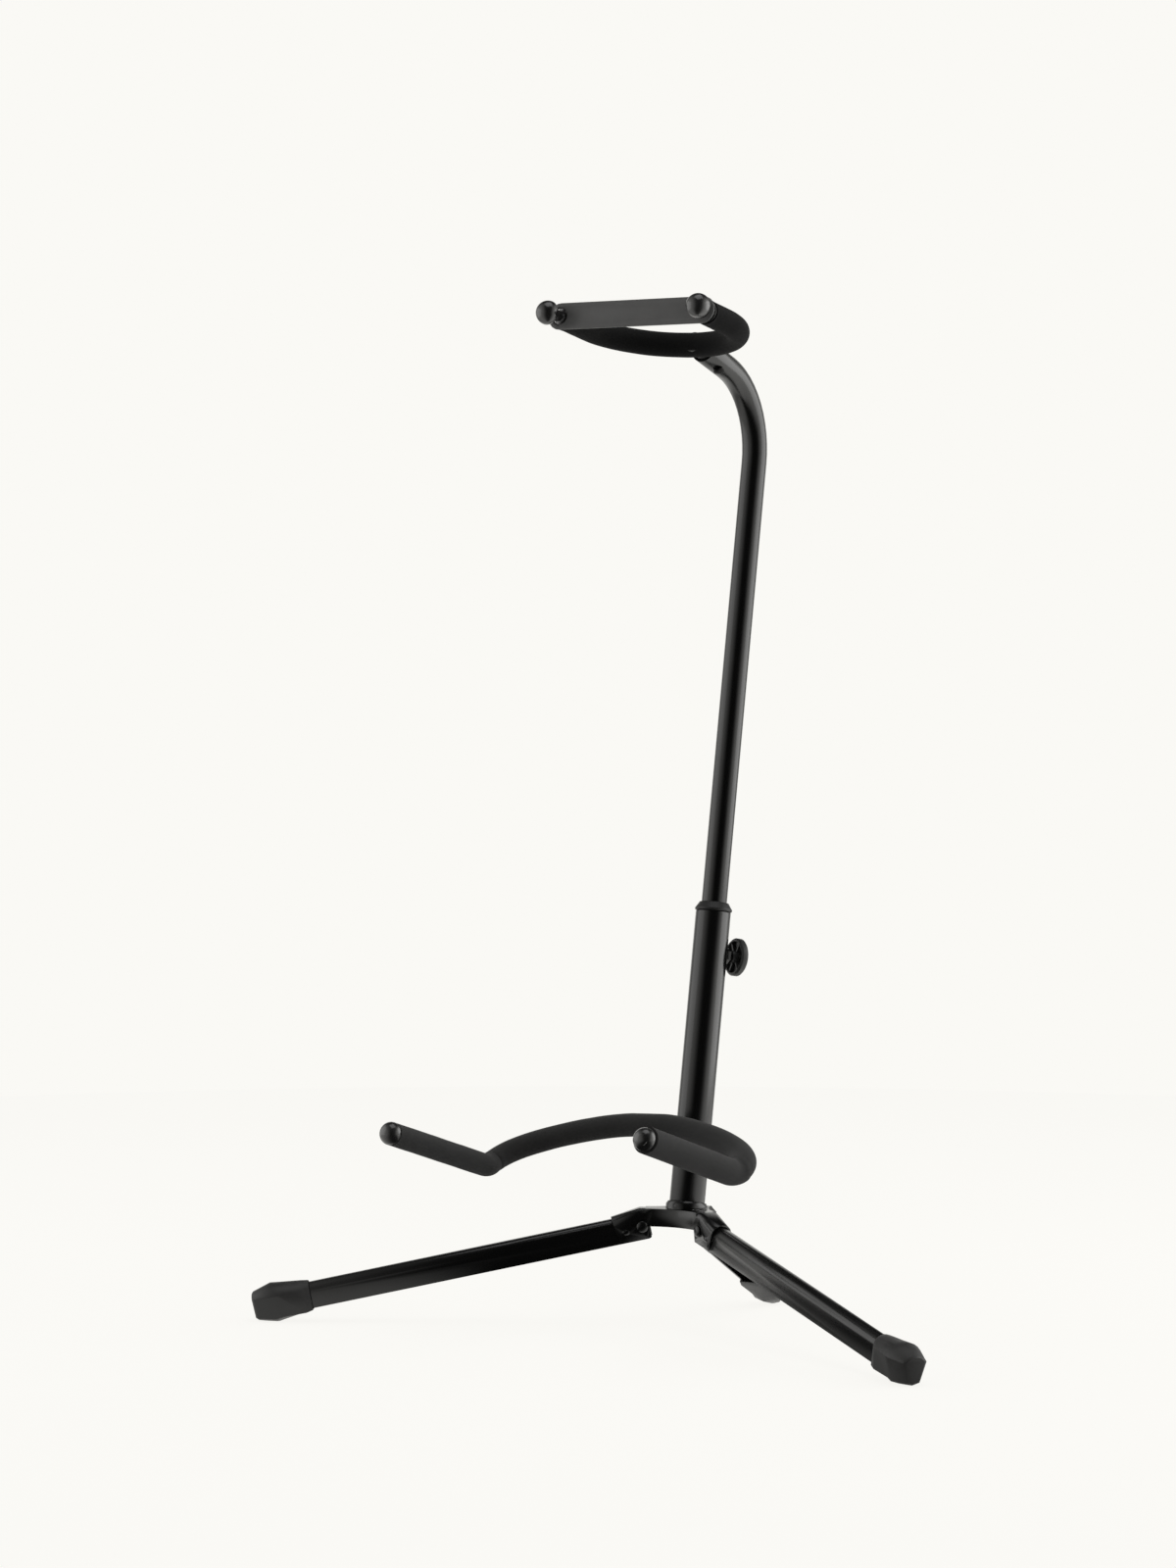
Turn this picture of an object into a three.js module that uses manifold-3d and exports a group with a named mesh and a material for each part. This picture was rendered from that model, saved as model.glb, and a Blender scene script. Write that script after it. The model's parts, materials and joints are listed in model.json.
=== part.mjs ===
// Folding guitar stand: a two-tube mast on three folding channel legs, a foam covered neck yoke
// closed by a rubber strap, and a foam covered body cradle. Lengths in millimetres, +Z up.
import * as THREE from 'three';
import { mergeVertices } from 'three/addons/utils/BufferGeometryUtils.js';
import Module from 'manifold-3d';

const wasm = await Module();
wasm.setup();

// Clearances shared by the whole stand
const FIT_GAP = 0.3;
const CUT_OVERRUN = 2;

// Mast: outer tube, leaning back over the hub
const MAST_LEAN = 9.8;
const MAST_SETBACK = 0.7;
const OUTER_TUBE_DIAMETER = 25;
const OUTER_TUBE_WALL = 1.5;
const OUTER_TUBE_LENGTH = 209.7;

// Height tube: slides in the outer tube, bends forward at the top
const HEIGHT_TUBE_DIAMETER = 18;
const HEIGHT_TUBE_WALL = 1.5;
const HEIGHT_TUBE_INSERTION = 110;
const HEIGHT_TUBE_EXPOSED = 324.7;
const HEIGHT_TUBE_BEND = 81.35;
const HEIGHT_TUBE_BEND_RADIUS = 59.5;
const NECK_STRAIGHT = 42;

// Hub and its three leg ears
const HUB_TOP = 82.2;
const HUB_PLATE = 1.5;
const HUB_WALL = 1.3;
const HUB_SKIRT_DEPTH = 12.4;
const HUB_EDGE_ROUNDING = 3.5;
const HUB_WEB_RADIUS = 15.5;
const FRONT_EAR_BREAK_RADIUS = 33;
const REAR_EAR_BREAK_RADIUS = 20;
const EAR_ROOF_END_RADIUS = 52.9;
const EAR_CHEEK_END_RADIUS = 45.5;
const EAR_CHEEK_START_RADIUS = 26.5;
const EAR_EDGE_RISE = 0.8;
const PIVOT_RADIUS = 30.5;
const FRONT_PIVOT_HEIGHT = 69.4;
const REAR_PIVOT_HEIGHT = 62.5;
const REAR_LEG_AZIMUTH = 90;
const LEG_AZIMUTH_STEP = 120;

// Legs: pressed channels, open below, round on top
const FRONT_LEG_SLOPE = 12.15;
const REAR_LEG_SLOPE = 29;
const FRONT_LEG_REACH = 280.8;
const REAR_LEG_REACH = 112;
const LEG_WIDTH = 12.5;
const LEG_HEIGHT = 18.4;
const LEG_WALL = 1.4;
const LEG_TAIL = 5;
const LEG_TAIL_RADIUS = 9.8;

// Rubber feet
const FOOT_LENGTH = 41.3;
const FOOT_LIP_LENGTH = 5;
const FOOT_CHAMFER_LENGTH = 14.3;
const FOOT_LIP_WALL = 0.9;
const FOOT_SHOULDER_DIAMETER = 21.6;
const FOOT_FLARE_DIAMETER = 28.4;
const FOOT_END_DIAMETER = 20.8;
const FOOT_END_ROUNDING = 1.4;
const FOOT_SOCKET_DEPTH = 27;
const FOOT_SWELL_SHARE = 0.78;

// Cradle: a bent rod in a foam sleeve, hung in a bracket on the mast
const CRADLE_HEIGHT = 52.8;
const CRADLE_STANDOFF = 61.9;
const CRADLE_ROLL = 1.9;
const CRADLE_FOAM_DIAMETER = 16.4;
const CRADLE_STRAIGHT = 11;
const CRADLE_HALF_WIDTH = 99.1;
const CRADLE_DEPTH = 51.7;
const CRADLE_DROP = 26.4;
const CRADLE_ARM_REACH = 113.25;
const CRADLE_ARM_RISE = 32.5;
const CRADLE_ARM_SPLAY = 2;
const CRADLE_BEND_RADIUS = 19;
const CRADLE_FOLD = 85;
const CRADLE_ROD_DIAMETER = 8;

// Yoke: a U-shaped rod in a foam sleeve, with a rubber strap across its pegs
const YOKE_TILT = 10.4;
const YOKE_FOAM_DIAMETER = 17.5;
const YOKE_ROD_DIAMETER = 6;
const YOKE_RADIUS = 56.3;
const YOKE_ARM_STRAIGHT = 24;
const PEG_SPLAY = 12;
const PEG_BEND_RADIUS = 15;
const PEG_FOAM_RUN = 1.5;
const STRAP_HEIGHT = 18.8;
const STRAP_THICKNESS = 2.2;
const STRAP_HOLE_DIAMETER = 11.5;
const STRAP_HOLE_SHIFT = 0.8;
const STRAP_EDGE_ROUNDING = 0.7;

// Ball caps on the rod ends
const YOKE_CAP_DIAMETER = 17;
const YOKE_CAP_THICKNESS = 12.4;
const YOKE_CAP_BACK_ROUNDING = 4;
const YOKE_CAP_NECK_DIAMETER = 8.2;
const YOKE_CAP_NECK_LENGTH = 11;
const CRADLE_CAP_DIAMETER = 16;
const CRADLE_CAP_THICKNESS = 8.2;
const CRADLE_CAP_BACK_ROUNDING = 1.2;
const CRADLE_CAP_NECK_DIAMETER = 13;
const CAP_FLANGE_DIAMETER = 16;
const STRAP_RUN = 5.4;
const CAP_FLANGE_THICKNESS = 1.6;
const CAP_SOCKET_DEPTH = 7;

// Clamp: knob, screw, pad and nut
const CLAMP_DROP = 29.7;
const CLAMP_AZIMUTH = 30;
const CLAMP_SCREW_DIAMETER = 6;
const CLAMP_PAD_LENGTH = 2.5;
const CLAMP_PAD_DIAMETER = 5.2;
const CLAMP_NUT_DIAMETER = 12;
const CLAMP_NUT_TOP = 16;
const KNOB_DIAMETER = 27;
const KNOB_FACE = 19.2;
const KNOB_RIM = 5.4;
const KNOB_RIM_WALL = 2.1;
const KNOB_FLOOR = 2;
const KNOB_CROWN = 1.2;
const KNOB_EDGE = 1.1;
const KNOB_BOSS_DIAMETER = 9;
const KNOB_BOSS_LENGTH = 2.2;
const KNOB_RIB_THICKNESS = 1.4;
const KNOB_RIB_DEPTH = 2.4;
const KNOB_RIBS = 6;

// Bush, plugs and fasteners
const BUSH_SKIRT = 16;
const BUSH_FLANGE_DIAMETER = 26.7;
const BUSH_FLANGE_HEIGHT = 3;
const BUSH_CONE_HEIGHT = 3.5;
const BUSH_LIP = 0.9;
const SEAT_RING_HEIGHT = 4;
const SEAT_RING_DIAMETER = 29.6;
const SEAT_RING_LIP = 0.7;
const TUBE_PLUG_HEIGHT = 20;
const HUB_BOLT_DIAMETER = 8;
const HUB_BOLT_REACH = 16;
const HUB_BOLT_HEAD_FLATS = 13;
const HUB_BOLT_HEAD_HEIGHT = 5.3;
const HUB_WASHER_DIAMETER = 17;
const HUB_WASHER_THICKNESS = 1.6;
const GUIDE_PLUG_LENGTH = 20;
const GUIDE_SPIGOT_LENGTH = 12;
const RIVET_DIAMETER = 6;
const RIVET_HEAD_DIAMETER = 8.4;
const RIVET_HEAD_HEIGHT = 1.4;
const DIMPLE_RADIUS = 42;
const DIMPLE_DROP = 1.7;
const DIMPLE_LENGTH = 6.4;
const DIMPLE_HEIGHT = 4.2;
const DIMPLE_DEPTH = 0.8;
const LUG_WIDTH = 6;
const LUG_EYE_WALL = 2.1;
const LUG_NECK_HEIGHT = 7;
const STOP_PLATE_SETBACK = 13.3;
const STOP_PLATE_WIDTH = 16;
const STOP_PLATE_THICKNESS = 3;
const STOP_PLATE_TOP = 6;
const STOP_PLATE_BOTTOM = 16;
const BRACKET_WIDTH = 12;
const BRACKET_HEIGHT = 14;
const COLLAR_WIDTH = 4;
const COLLAR_WALL = 1.9;
const COLLAR_TOOTH_THICKNESS = 4;
const COLLAR_TOOTH_DROP = 38;
const NECK_PLUG_LENGTH = 35;
const NECK_PLUG_NOSE = 6.2;
const NECK_SCREW_SETBACK = 27;
const NECK_SCREW_TURN = 25;
const NECK_SCREW_DIAMETER = 4;
const NECK_SCREW_DEPTH = 6;
const NECK_SCREW_HEAD_DIAMETER = 7.6;
const NECK_SCREW_HEAD_HEIGHT = 2;

// The cradle's bow: its straight run out of the middle, and its slant into each elbow
const BOW_START_RUN = 23.8;
const BOW_SLANT_OUT = 8.9;
const BOW_SLANT_BACK = 35.3;
const BOW_SLANT_UP = 13.1;

// Fineness of the solids, as counts of sides and steps
const TUBE_SIDES = 28;
const SLEEVE_SIDES = 16;
const ROD_SIDES = 12;
const CAP_SIDES = 16;
const KNOB_SIDES = 32;
const SCREW_SIDES = 16;
const RING_SIDES = 24;
const BEND_STEPS = 12;
const BOW_STEPS = 12;
const CORNER_STEPS = 6;
const YOKE_ARC_STEPS = 18;
const PEG_STEPS = 2;
const WEB_STEPS = 8;
const HALF_TOP_STEPS = 5;
const DOME_STEPS = 5;
const ROUND_STEPS = 3;
const STRAP_END_STEPS = 10;
const HEX_SIDES = 6;

// Sizes that follow from the ones above
const MAST_RADIUS = OUTER_TUBE_DIAMETER / 2;
const MAST_BORE = MAST_RADIUS - OUTER_TUBE_WALL;
const HEIGHT_TUBE_RADIUS = HEIGHT_TUBE_DIAMETER / 2;
const HEIGHT_TUBE_BORE = HEIGHT_TUBE_RADIUS - HEIGHT_TUBE_WALL;
const CRADLE_ROD_RADIUS = CRADLE_ROD_DIAMETER / 2;
const CRADLE_ROD_BORE = CRADLE_ROD_RADIUS + FIT_GAP;
const YOKE_ROD_RADIUS = YOKE_ROD_DIAMETER / 2;
const YOKE_ROD_BORE = YOKE_ROD_RADIUS + FIT_GAP;
const CRADLE_FOAM_RADIUS = CRADLE_FOAM_DIAMETER / 2;
const YOKE_FOAM_RADIUS = YOKE_FOAM_DIAMETER / 2;
const CAVITY_WIDTH = LEG_WIDTH + 2 * FIT_GAP;
const EAR_WIDTH = CAVITY_WIDTH + 2 * HUB_WALL;
const HUB_UNDERSIDE = HUB_TOP - HUB_PLATE;
const HUB_SKIRT_BOTTOM = HUB_TOP - HUB_SKIRT_DEPTH;
const HEIGHT_TUBE_START = OUTER_TUBE_LENGTH - HEIGHT_TUBE_INSERTION;
const LEAN = THREE.MathUtils.degToRad(MAST_LEAN);

const X_AXIS = new THREE.Vector3(1, 0, 0);
const Y_AXIS = new THREE.Vector3(0, 1, 0);
const Z_AXIS = new THREE.Vector3(0, 0, 1);

// Finishes
const blackPaint = { color: 0x0c0c0d, roughness: 0.32, metalness: 0.55 };
const darkSteel = { color: 0x2a2b2d, roughness: 0.4, metalness: 0.85 };
const foam = { color: 0x262627, roughness: 0.96, metalness: 0 };
const footRubber = { color: 0x323233, roughness: 0.85, metalness: 0 };
const strapRubber = { color: 0x3a3b3d, roughness: 0.6, metalness: 0 };
const blackPlastic = { color: 0x17181a, roughness: 0.4, metalness: 0 };
const paleNylon = { color: 0xb9b6aa, roughness: 0.6, metalness: 0 };

// A closed solid from any closed geometry
function solidOf(geometry) {
  const plain = geometry.clone();
  plain.deleteAttribute('normal');
  plain.deleteAttribute('uv');
  const merged = mergeVertices(plain);
  const vertProperties = Float32Array.from(merged.attributes.position.array);
  const corners = merged.index.array;
  const kept = [];
  for (let i = 0; i < corners.length; i += 3) {
    const [a, b, c] = [corners[i], corners[i + 1], corners[i + 2]];
    if (a !== b && b !== c && c !== a) {
      kept.push(a, b, c);
    }
  }
  if (signedVolume(vertProperties, kept) < 0) {
    kept.reverse();
  }
  const triVerts = Uint32Array.from(kept);
  return new wasm.Manifold(new wasm.Mesh({ numProp: 3, vertProperties, triVerts }));
}

function signedVolume(vertices, corners) {
  const [a, b, c] = [new THREE.Vector3(), new THREE.Vector3(), new THREE.Vector3()];
  let total = 0;
  for (let i = 0; i < corners.length; i += 3) {
    a.fromArray(vertices, corners[i] * 3);
    b.fromArray(vertices, corners[i + 1] * 3);
    c.fromArray(vertices, corners[i + 2] * 3);
    total += a.dot(b.cross(c));
  }
  return total;
}

// A named mesh from a solid
function piece(name, solid, finish) {
  const raw = solid.getMesh();
  const geometry = new THREE.BufferGeometry();
  geometry.setAttribute('position', new THREE.BufferAttribute(Float32Array.from(raw.vertProperties), 3));
  geometry.setIndex(new THREE.BufferAttribute(Uint32Array.from(raw.triVerts), 1));
  const faceted = geometry.toNonIndexed();
  faceted.computeVertexNormals();
  const mesh = new THREE.Mesh(faceted, new THREE.MeshStandardMaterial(finish));
  mesh.name = name;
  return mesh;
}

// A run of stations that an extrusion follows exactly
class StationPath extends THREE.Curve {
  constructor(stations) {
    super();
    this.stations = stations;
  }

  getPoint(t, target = new THREE.Vector3()) {
    const last = this.stations.length - 1;
    const place = THREE.MathUtils.clamp(t, 0, 1) * last;
    const from = Math.min(Math.floor(place), last - 1);
    return target.lerpVectors(this.stations[from], this.stations[from + 1], place - from);
  }

  getUtoTmapping(u) {
    return u;
  }

  getTangent(t, target = new THREE.Vector3()) {
    const last = this.stations.length - 1;
    const at = Math.round(THREE.MathUtils.clamp(t, 0, 1) * last);
    const here = this.stations[at];
    const before = this.stations[Math.max(at - 1, 0)];
    const after = this.stations[Math.min(at + 1, last)];
    const arriving = here.clone().sub(before).normalize();
    const leaving = after.clone().sub(here).normalize();
    return target.addVectors(arriving, leaving).normalize();
  }
}

// Points of a regular polygon, counter-clockwise
function circlePoints(radius, sides) {
  const points = [];
  for (let i = 0; i < sides; i += 1) {
    const angle = (2 * Math.PI * i) / sides;
    points.push(new THREE.Vector2(radius * Math.cos(angle), radius * Math.sin(angle)));
  }
  return points;
}

// Corner radius of a polygon whose flats lie at the given radius
function flatsAt(radius, sides) {
  return radius / Math.cos(Math.PI / sides);
}

// A round bar or tube along stations; a bore of zero makes it solid
function sweep(stations, radius, sides, bore, boreSides) {
  const section = new THREE.Shape(circlePoints(radius, sides));
  if (bore > 0) {
    section.holes.push(new THREE.Path(circlePoints(flatsAt(bore, boreSides), boreSides).reverse()));
  }
  const extrudePath = new StationPath(stations);
  const steps = stations.length - 1;
  return solidOf(new THREE.ExtrudeGeometry(section, { steps, bevelEnabled: false, extrudePath }));
}

// A solid of revolution about the Y axis from [radius, height] pairs
function turned(profile, sides) {
  const points = profile.map(([radius, height]) => new THREE.Vector2(radius, height));
  return solidOf(new THREE.LatheGeometry(points, sides));
}

// The same about the Z axis
function turnedUpright(profile, sides) {
  return moved(turned(profile, sides), new THREE.Matrix4().makeRotationX(Math.PI / 2));
}

// A ring about the Z axis between two heights
function ring(outer, bore, low, high, sides) {
  const wall = flatsAt(bore, sides);
  return turnedUpright([[wall, low], [outer, low], [outer, high], [wall, high], [wall, low]], sides);
}

function moved(solid, matrix) {
  return solid.transform(matrix.toArray());
}

function shifted(solid, x, y, z) {
  return solid.translate([x, y, z]);
}

// A round bar about the Y axis between two places
function barY(radius, from, to, sides) {
  return turned([[0, from], [radius, from], [radius, to], [0, to]], sides);
}

// A round bar about the Z axis between two heights
function barZ(radius, from, to, sides) {
  return turnedUpright([[0, from], [radius, from], [radius, to], [0, to]], sides);
}

// A box between two corners
function block(low, high) {
  const size = [0, 1, 2].map((i) => high[i] - low[i]);
  const middle = [0, 1, 2].map((i) => (high[i] + low[i]) / 2);
  return shifted(solidOf(new THREE.BoxGeometry(...size)), ...middle);
}

// A plate cut to an outline of [y, z] points and centred on x = 0
function plateAcross(outline, width) {
  const shape = new THREE.Shape(outline.map(([y, z]) => new THREE.Vector2(y, z)));
  const geometry = new THREE.ExtrudeGeometry(shape, { depth: width, bevelEnabled: false });
  geometry.translate(0, 0, -width / 2);
  return solidOf(geometry.applyMatrix4(new THREE.Matrix4().makeBasis(Y_AXIS, Z_AXIS, X_AXIS)));
}

// A plate cut to an outline of [x, z] points and centred on y = 0
function plateAlong(outline, width) {
  const turn = new THREE.Matrix4().makeRotationZ(-Math.PI / 2);
  return moved(plateAcross(outline, width), turn);
}

// A bar of any [y, z] shape along x, between two places
function channelBar(shape, from, to) {
  const geometry = new THREE.ExtrudeGeometry(shape, { depth: to - from, bevelEnabled: false });
  geometry.translate(0, 0, from);
  return solidOf(geometry.applyMatrix4(new THREE.Matrix4().makeBasis(Y_AXIS, Z_AXIS, X_AXIS)));
}

// An arc of points about a centre
function arc(centreX, centreY, radius, fromDegrees, toDegrees, steps) {
  const points = [];
  for (let i = 0; i <= steps; i += 1) {
    const angle = THREE.MathUtils.degToRad(fromDegrees + ((toDegrees - fromDegrees) * i) / steps);
    points.push([centreX + radius * Math.cos(angle), centreY + radius * Math.sin(angle)]);
  }
  return points;
}

// Stations round one corner of a bent rod
function bendStations(before, corner, after, radius, steps) {
  const arriving = corner.clone().sub(before).normalize();
  const leaving = after.clone().sub(corner).normalize();
  const turn = arriving.angleTo(leaving);
  const tangent = radius * Math.tan(turn / 2);
  const start = corner.clone().addScaledVector(arriving, -tangent);
  const inward = leaving.clone().addScaledVector(arriving, -Math.cos(turn)).normalize();
  const stations = [];
  for (let i = 0; i <= steps; i += 1) {
    const angle = (turn * i) / steps;
    const along = radius * Math.sin(angle);
    const across = radius * (1 - Math.cos(angle));
    stations.push(start.clone().addScaledVector(arriving, along).addScaledVector(inward, across));
  }
  return stations;
}

function mirrored(stations) {
  return stations.map((p) => new THREE.Vector3(-p.x, p.y, p.z)).reverse();
}

// The frame of a group, seen from the stand
function frameMatrix(position, tilt) {
  return new THREE.Matrix4().makeRotationX(tilt).setPosition(position);
}

const mastMatrix = frameMatrix(new THREE.Vector3(0, MAST_SETBACK, HUB_TOP), -LEAN);
const mastInverse = mastMatrix.clone().invert();

// All below the hub's top plate, in the mast's frame, for mitring what stands on the plate
function belowHub() {
  const reach = OUTER_TUBE_DIAMETER;
  const slab = block([-reach, -reach, HUB_TOP - reach], [reach, reach, HUB_TOP + FIT_GAP]);
  return moved(slab, mastInverse);
}

// The outline of the hub from above: three arms with hollow webs between them
function hubOutline(halfWidth, webRadius) {
  const halfStep = LEG_AZIMUTH_STEP / 2;
  const sine = Math.sin(THREE.MathUtils.degToRad(halfStep));
  const centre = (webRadius - halfWidth) / (1 - sine);
  const hollow = centre - webRadius;
  const points = [];
  for (let arm = 0; arm < 3; arm += 1) {
    const azimuth = THREE.MathUtils.degToRad(REAR_LEG_AZIMUTH + LEG_AZIMUTH_STEP * arm);
    const bisector = azimuth + THREE.MathUtils.degToRad(halfStep);
    for (const [x, y] of arc(centre, 0, hollow, 270 - halfStep, 90 + halfStep, WEB_STEPS)) {
      points.push(new THREE.Vector2(x, y).rotateAround(new THREE.Vector2(), bisector));
    }
  }
  return new THREE.Shape(points);
}

function hubLayer(halfWidth, webRadius, low, high) {
  const depth = high - low;
  const outline = hubOutline(halfWidth, webRadius);
  const geometry = new THREE.ExtrudeGeometry(outline, { depth, bevelEnabled: false });
  return solidOf(geometry.translate(0, 0, low));
}

// Heights of a leg's top and bottom edges over the floor, at a distance from the hub's centre
function legEdge({ slope, pivotHeight }, radius, side) {
  const angle = THREE.MathUtils.degToRad(slope);
  const middle = pivotHeight - (radius - PIVOT_RADIUS) * Math.tan(angle);
  return middle + (side * LEG_HEIGHT) / 2 / Math.cos(angle);
}

function atAzimuth(solid, azimuth) {
  return moved(solid, new THREE.Matrix4().makeRotationZ(THREE.MathUtils.degToRad(azimuth)));
}

// Rings of a hollow or solid arm: level out to the break, then down to a round end
function armRings(half, low, top, endTop, breakRadius, endRadius, rounding) {
  const ring = (place, height, corner) => {
    const right = arc(half - corner, height - corner, corner, 0, 90, HALF_TOP_STEPS);
    const left = arc(corner - half, height - corner, corner, 90, 180, HALF_TOP_STEPS);
    const outline = [[half, low], ...right, ...left, [-half, low]];
    return outline.map(([y, z]) => new THREE.Vector3(place, y, z));
  };
  return [ring(0, top, rounding), ring(breakRadius, top, rounding), ring(endRadius, endTop, half)];
}

// What lies above an ear's roof, out from its break
function roofWedge(leg, top, wall) {
  const { breakRadius } = leg;
  const roofEnd = legEdge(leg, EAR_ROOF_END_RADIUS, 1) + FIT_GAP + wall;
  const outline = [
    [breakRadius, top],
    [EAR_ROOF_END_RADIUS, roofEnd],
    [EAR_ROOF_END_RADIUS, HUB_TOP + CUT_OVERRUN],
    [breakRadius, HUB_TOP + CUT_OVERRUN],
  ];
  return plateAlong(outline, 2 * EAR_ROOF_END_RADIUS);
}

// One ear: its outer body and the channel that the leg lies in
function earBody(leg) {
  const { breakRadius } = leg;
  const roofEnd = legEdge(leg, EAR_ROOF_END_RADIUS, 1) + FIT_GAP + HUB_WALL;
  const low = legEdge(leg, EAR_ROOF_END_RADIUS, -1);
  const rings = armRings(
    EAR_WIDTH / 2, low, HUB_TOP, roofEnd, breakRadius, EAR_ROOF_END_RADIUS, HUB_EDGE_ROUNDING,
  );
  const outline = [
    [0, HUB_SKIRT_BOTTOM],
    [EAR_CHEEK_START_RADIUS - HUB_WALL, HUB_SKIRT_BOTTOM],
    [EAR_CHEEK_START_RADIUS, legEdge(leg, EAR_CHEEK_START_RADIUS, -1) + EAR_EDGE_RISE],
    [EAR_CHEEK_END_RADIUS, legEdge(leg, EAR_CHEEK_END_RADIUS, -1) + EAR_EDGE_RISE],
    [EAR_ROOF_END_RADIUS, roofEnd],
    [EAR_ROOF_END_RADIUS, HUB_TOP],
    [0, HUB_TOP],
  ];
  return loft(rings).intersect(plateAlong(outline, EAR_WIDTH + CUT_OVERRUN));
}

function earChannel(leg) {
  const { breakRadius } = leg;
  const far = EAR_ROOF_END_RADIUS + CUT_OVERRUN;
  const roofEnd = legEdge(leg, EAR_ROOF_END_RADIUS, 1) + FIT_GAP;
  const fall = (HUB_UNDERSIDE - roofEnd) / (EAR_ROOF_END_RADIUS - breakRadius);
  const low = legEdge(leg, far, -1) - LEG_HEIGHT;
  const endTop = roofEnd - fall * CUT_OVERRUN;
  const rounding = HUB_EDGE_ROUNDING - HUB_WALL;
  return loft(armRings(CAVITY_WIDTH / 2, low, HUB_UNDERSIDE, endTop, breakRadius, far, rounding));
}

// A shallow pressed dimple on each cheek, which holds the leg open
function dimples({ slope, pivotHeight }) {
  const low = pivotHeight - (DIMPLE_RADIUS - PIVOT_RADIUS) * Math.tan(THREE.MathUtils.degToRad(slope));
  const button = new THREE.SphereGeometry(1, SCREW_SIDES, SCREW_SIDES / 2);
  button.scale(DIMPLE_LENGTH / 2, DIMPLE_DEPTH + HUB_WALL / 2, DIMPLE_HEIGHT / 2);
  const face = (EAR_WIDTH - HUB_WALL) / 2;
  const one = shifted(solidOf(button), DIMPLE_RADIUS, face, low - DIMPLE_DROP);
  const other = shifted(solidOf(button), DIMPLE_RADIUS, -face, low - DIMPLE_DROP);
  return one.add(other);
}

const legPlan = [
  {
    name: 'rear',
    azimuth: REAR_LEG_AZIMUTH,
    slope: REAR_LEG_SLOPE,
    reach: REAR_LEG_REACH,
    pivotHeight: REAR_PIVOT_HEIGHT,
    breakRadius: REAR_EAR_BREAK_RADIUS,
  },
  {
    name: 'front_left',
    azimuth: REAR_LEG_AZIMUTH + LEG_AZIMUTH_STEP,
    slope: FRONT_LEG_SLOPE,
    reach: FRONT_LEG_REACH,
    pivotHeight: FRONT_PIVOT_HEIGHT,
    breakRadius: FRONT_EAR_BREAK_RADIUS,
  },
  {
    name: 'front_right',
    azimuth: REAR_LEG_AZIMUTH - LEG_AZIMUTH_STEP,
    slope: FRONT_LEG_SLOPE,
    reach: FRONT_LEG_REACH,
    pivotHeight: FRONT_PIVOT_HEIGHT,
    breakRadius: FRONT_EAR_BREAK_RADIUS,
  },
];

function makeHub() {
  const half = EAR_WIDTH / 2;
  let outer = hubLayer(half, HUB_WEB_RADIUS, HUB_SKIRT_BOTTOM, HUB_TOP);
  const below = HUB_SKIRT_BOTTOM - CUT_OVERRUN;
  let inner = hubLayer(half - HUB_WALL, HUB_WEB_RADIUS - HUB_WALL, below, HUB_UNDERSIDE);
  for (const leg of legPlan) {
    outer = outer.subtract(atAzimuth(roofWedge(leg, HUB_TOP, HUB_WALL), leg.azimuth));
    inner = inner.subtract(atAzimuth(roofWedge(leg, HUB_UNDERSIDE, 0), leg.azimuth));
  }
  const hole = RIVET_DIAMETER / 2 + FIT_GAP;
  for (const leg of legPlan) {
    outer = outer.add(atAzimuth(earBody(leg).add(dimples(leg)), leg.azimuth));
    const drill = barY(hole, -EAR_WIDTH, EAR_WIDTH, SCREW_SIDES);
    const rivetHole = shifted(drill, PIVOT_RADIUS, 0, leg.pivotHeight);
    inner = inner.add(atAzimuth(earChannel(leg).add(rivetHole), leg.azimuth));
  }
  const boltRadius = HUB_BOLT_DIAMETER / 2 + FIT_GAP;
  const boltHole = barZ(boltRadius, HUB_UNDERSIDE - CUT_OVERRUN, HUB_TOP + CUT_OVERRUN, SCREW_SIDES);
  return piece('hub', outer.subtract(inner).subtract(boltHole), blackPaint);
}

function makeHubBolt() {
  const washerTop = HUB_UNDERSIDE - FIT_GAP;
  const headTop = washerTop - HUB_WASHER_THICKNESS - FIT_GAP;
  const washer = ring(HUB_WASHER_DIAMETER / 2, HUB_BOLT_DIAMETER / 2 + FIT_GAP,
    washerTop - HUB_WASHER_THICKNESS, washerTop, SCREW_SIDES);
  const headRadius = flatsAt(HUB_BOLT_HEAD_FLATS / 2, HEX_SIDES);
  const head = barZ(headRadius, headTop - HUB_BOLT_HEAD_HEIGHT, headTop, HEX_SIDES);
  const shankStart = headTop - HUB_BOLT_HEAD_HEIGHT / 2;
  const shank = barZ(HUB_BOLT_DIAMETER / 2, shankStart, HUB_TOP + HUB_BOLT_REACH, SCREW_SIDES);
  return [piece('hub_bolt', head.add(shank), darkSteel), piece('hub_washer', washer, darkSteel)];
}

// What stands in the mast's frame and doesn't move with the height tube
function makeOuterTube() {
  const tube = ring(MAST_RADIUS, MAST_BORE, -MAST_RADIUS, OUTER_TUBE_LENGTH, TUBE_SIDES);
  const hole = barY(CLAMP_SCREW_DIAMETER / 2 + FIT_GAP, 0, OUTER_TUBE_DIAMETER, SCREW_SIDES);
  return piece('outer_tube', tube.subtract(belowHub()).subtract(atClamp(hole)), blackPaint);
}

function makeTubePlug() {
  const plug = barZ(MAST_BORE - FIT_GAP, -MAST_RADIUS, TUBE_PLUG_HEIGHT, TUBE_SIDES);
  const holeTop = HUB_TOP + OUTER_TUBE_DIAMETER + TUBE_PLUG_HEIGHT;
  const hole = barZ(HUB_BOLT_DIAMETER / 2 + FIT_GAP, 0, holeTop, SCREW_SIDES);
  return piece('tube_plug', plug.subtract(belowHub()).subtract(moved(hole, mastInverse)), darkSteel);
}

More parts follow.
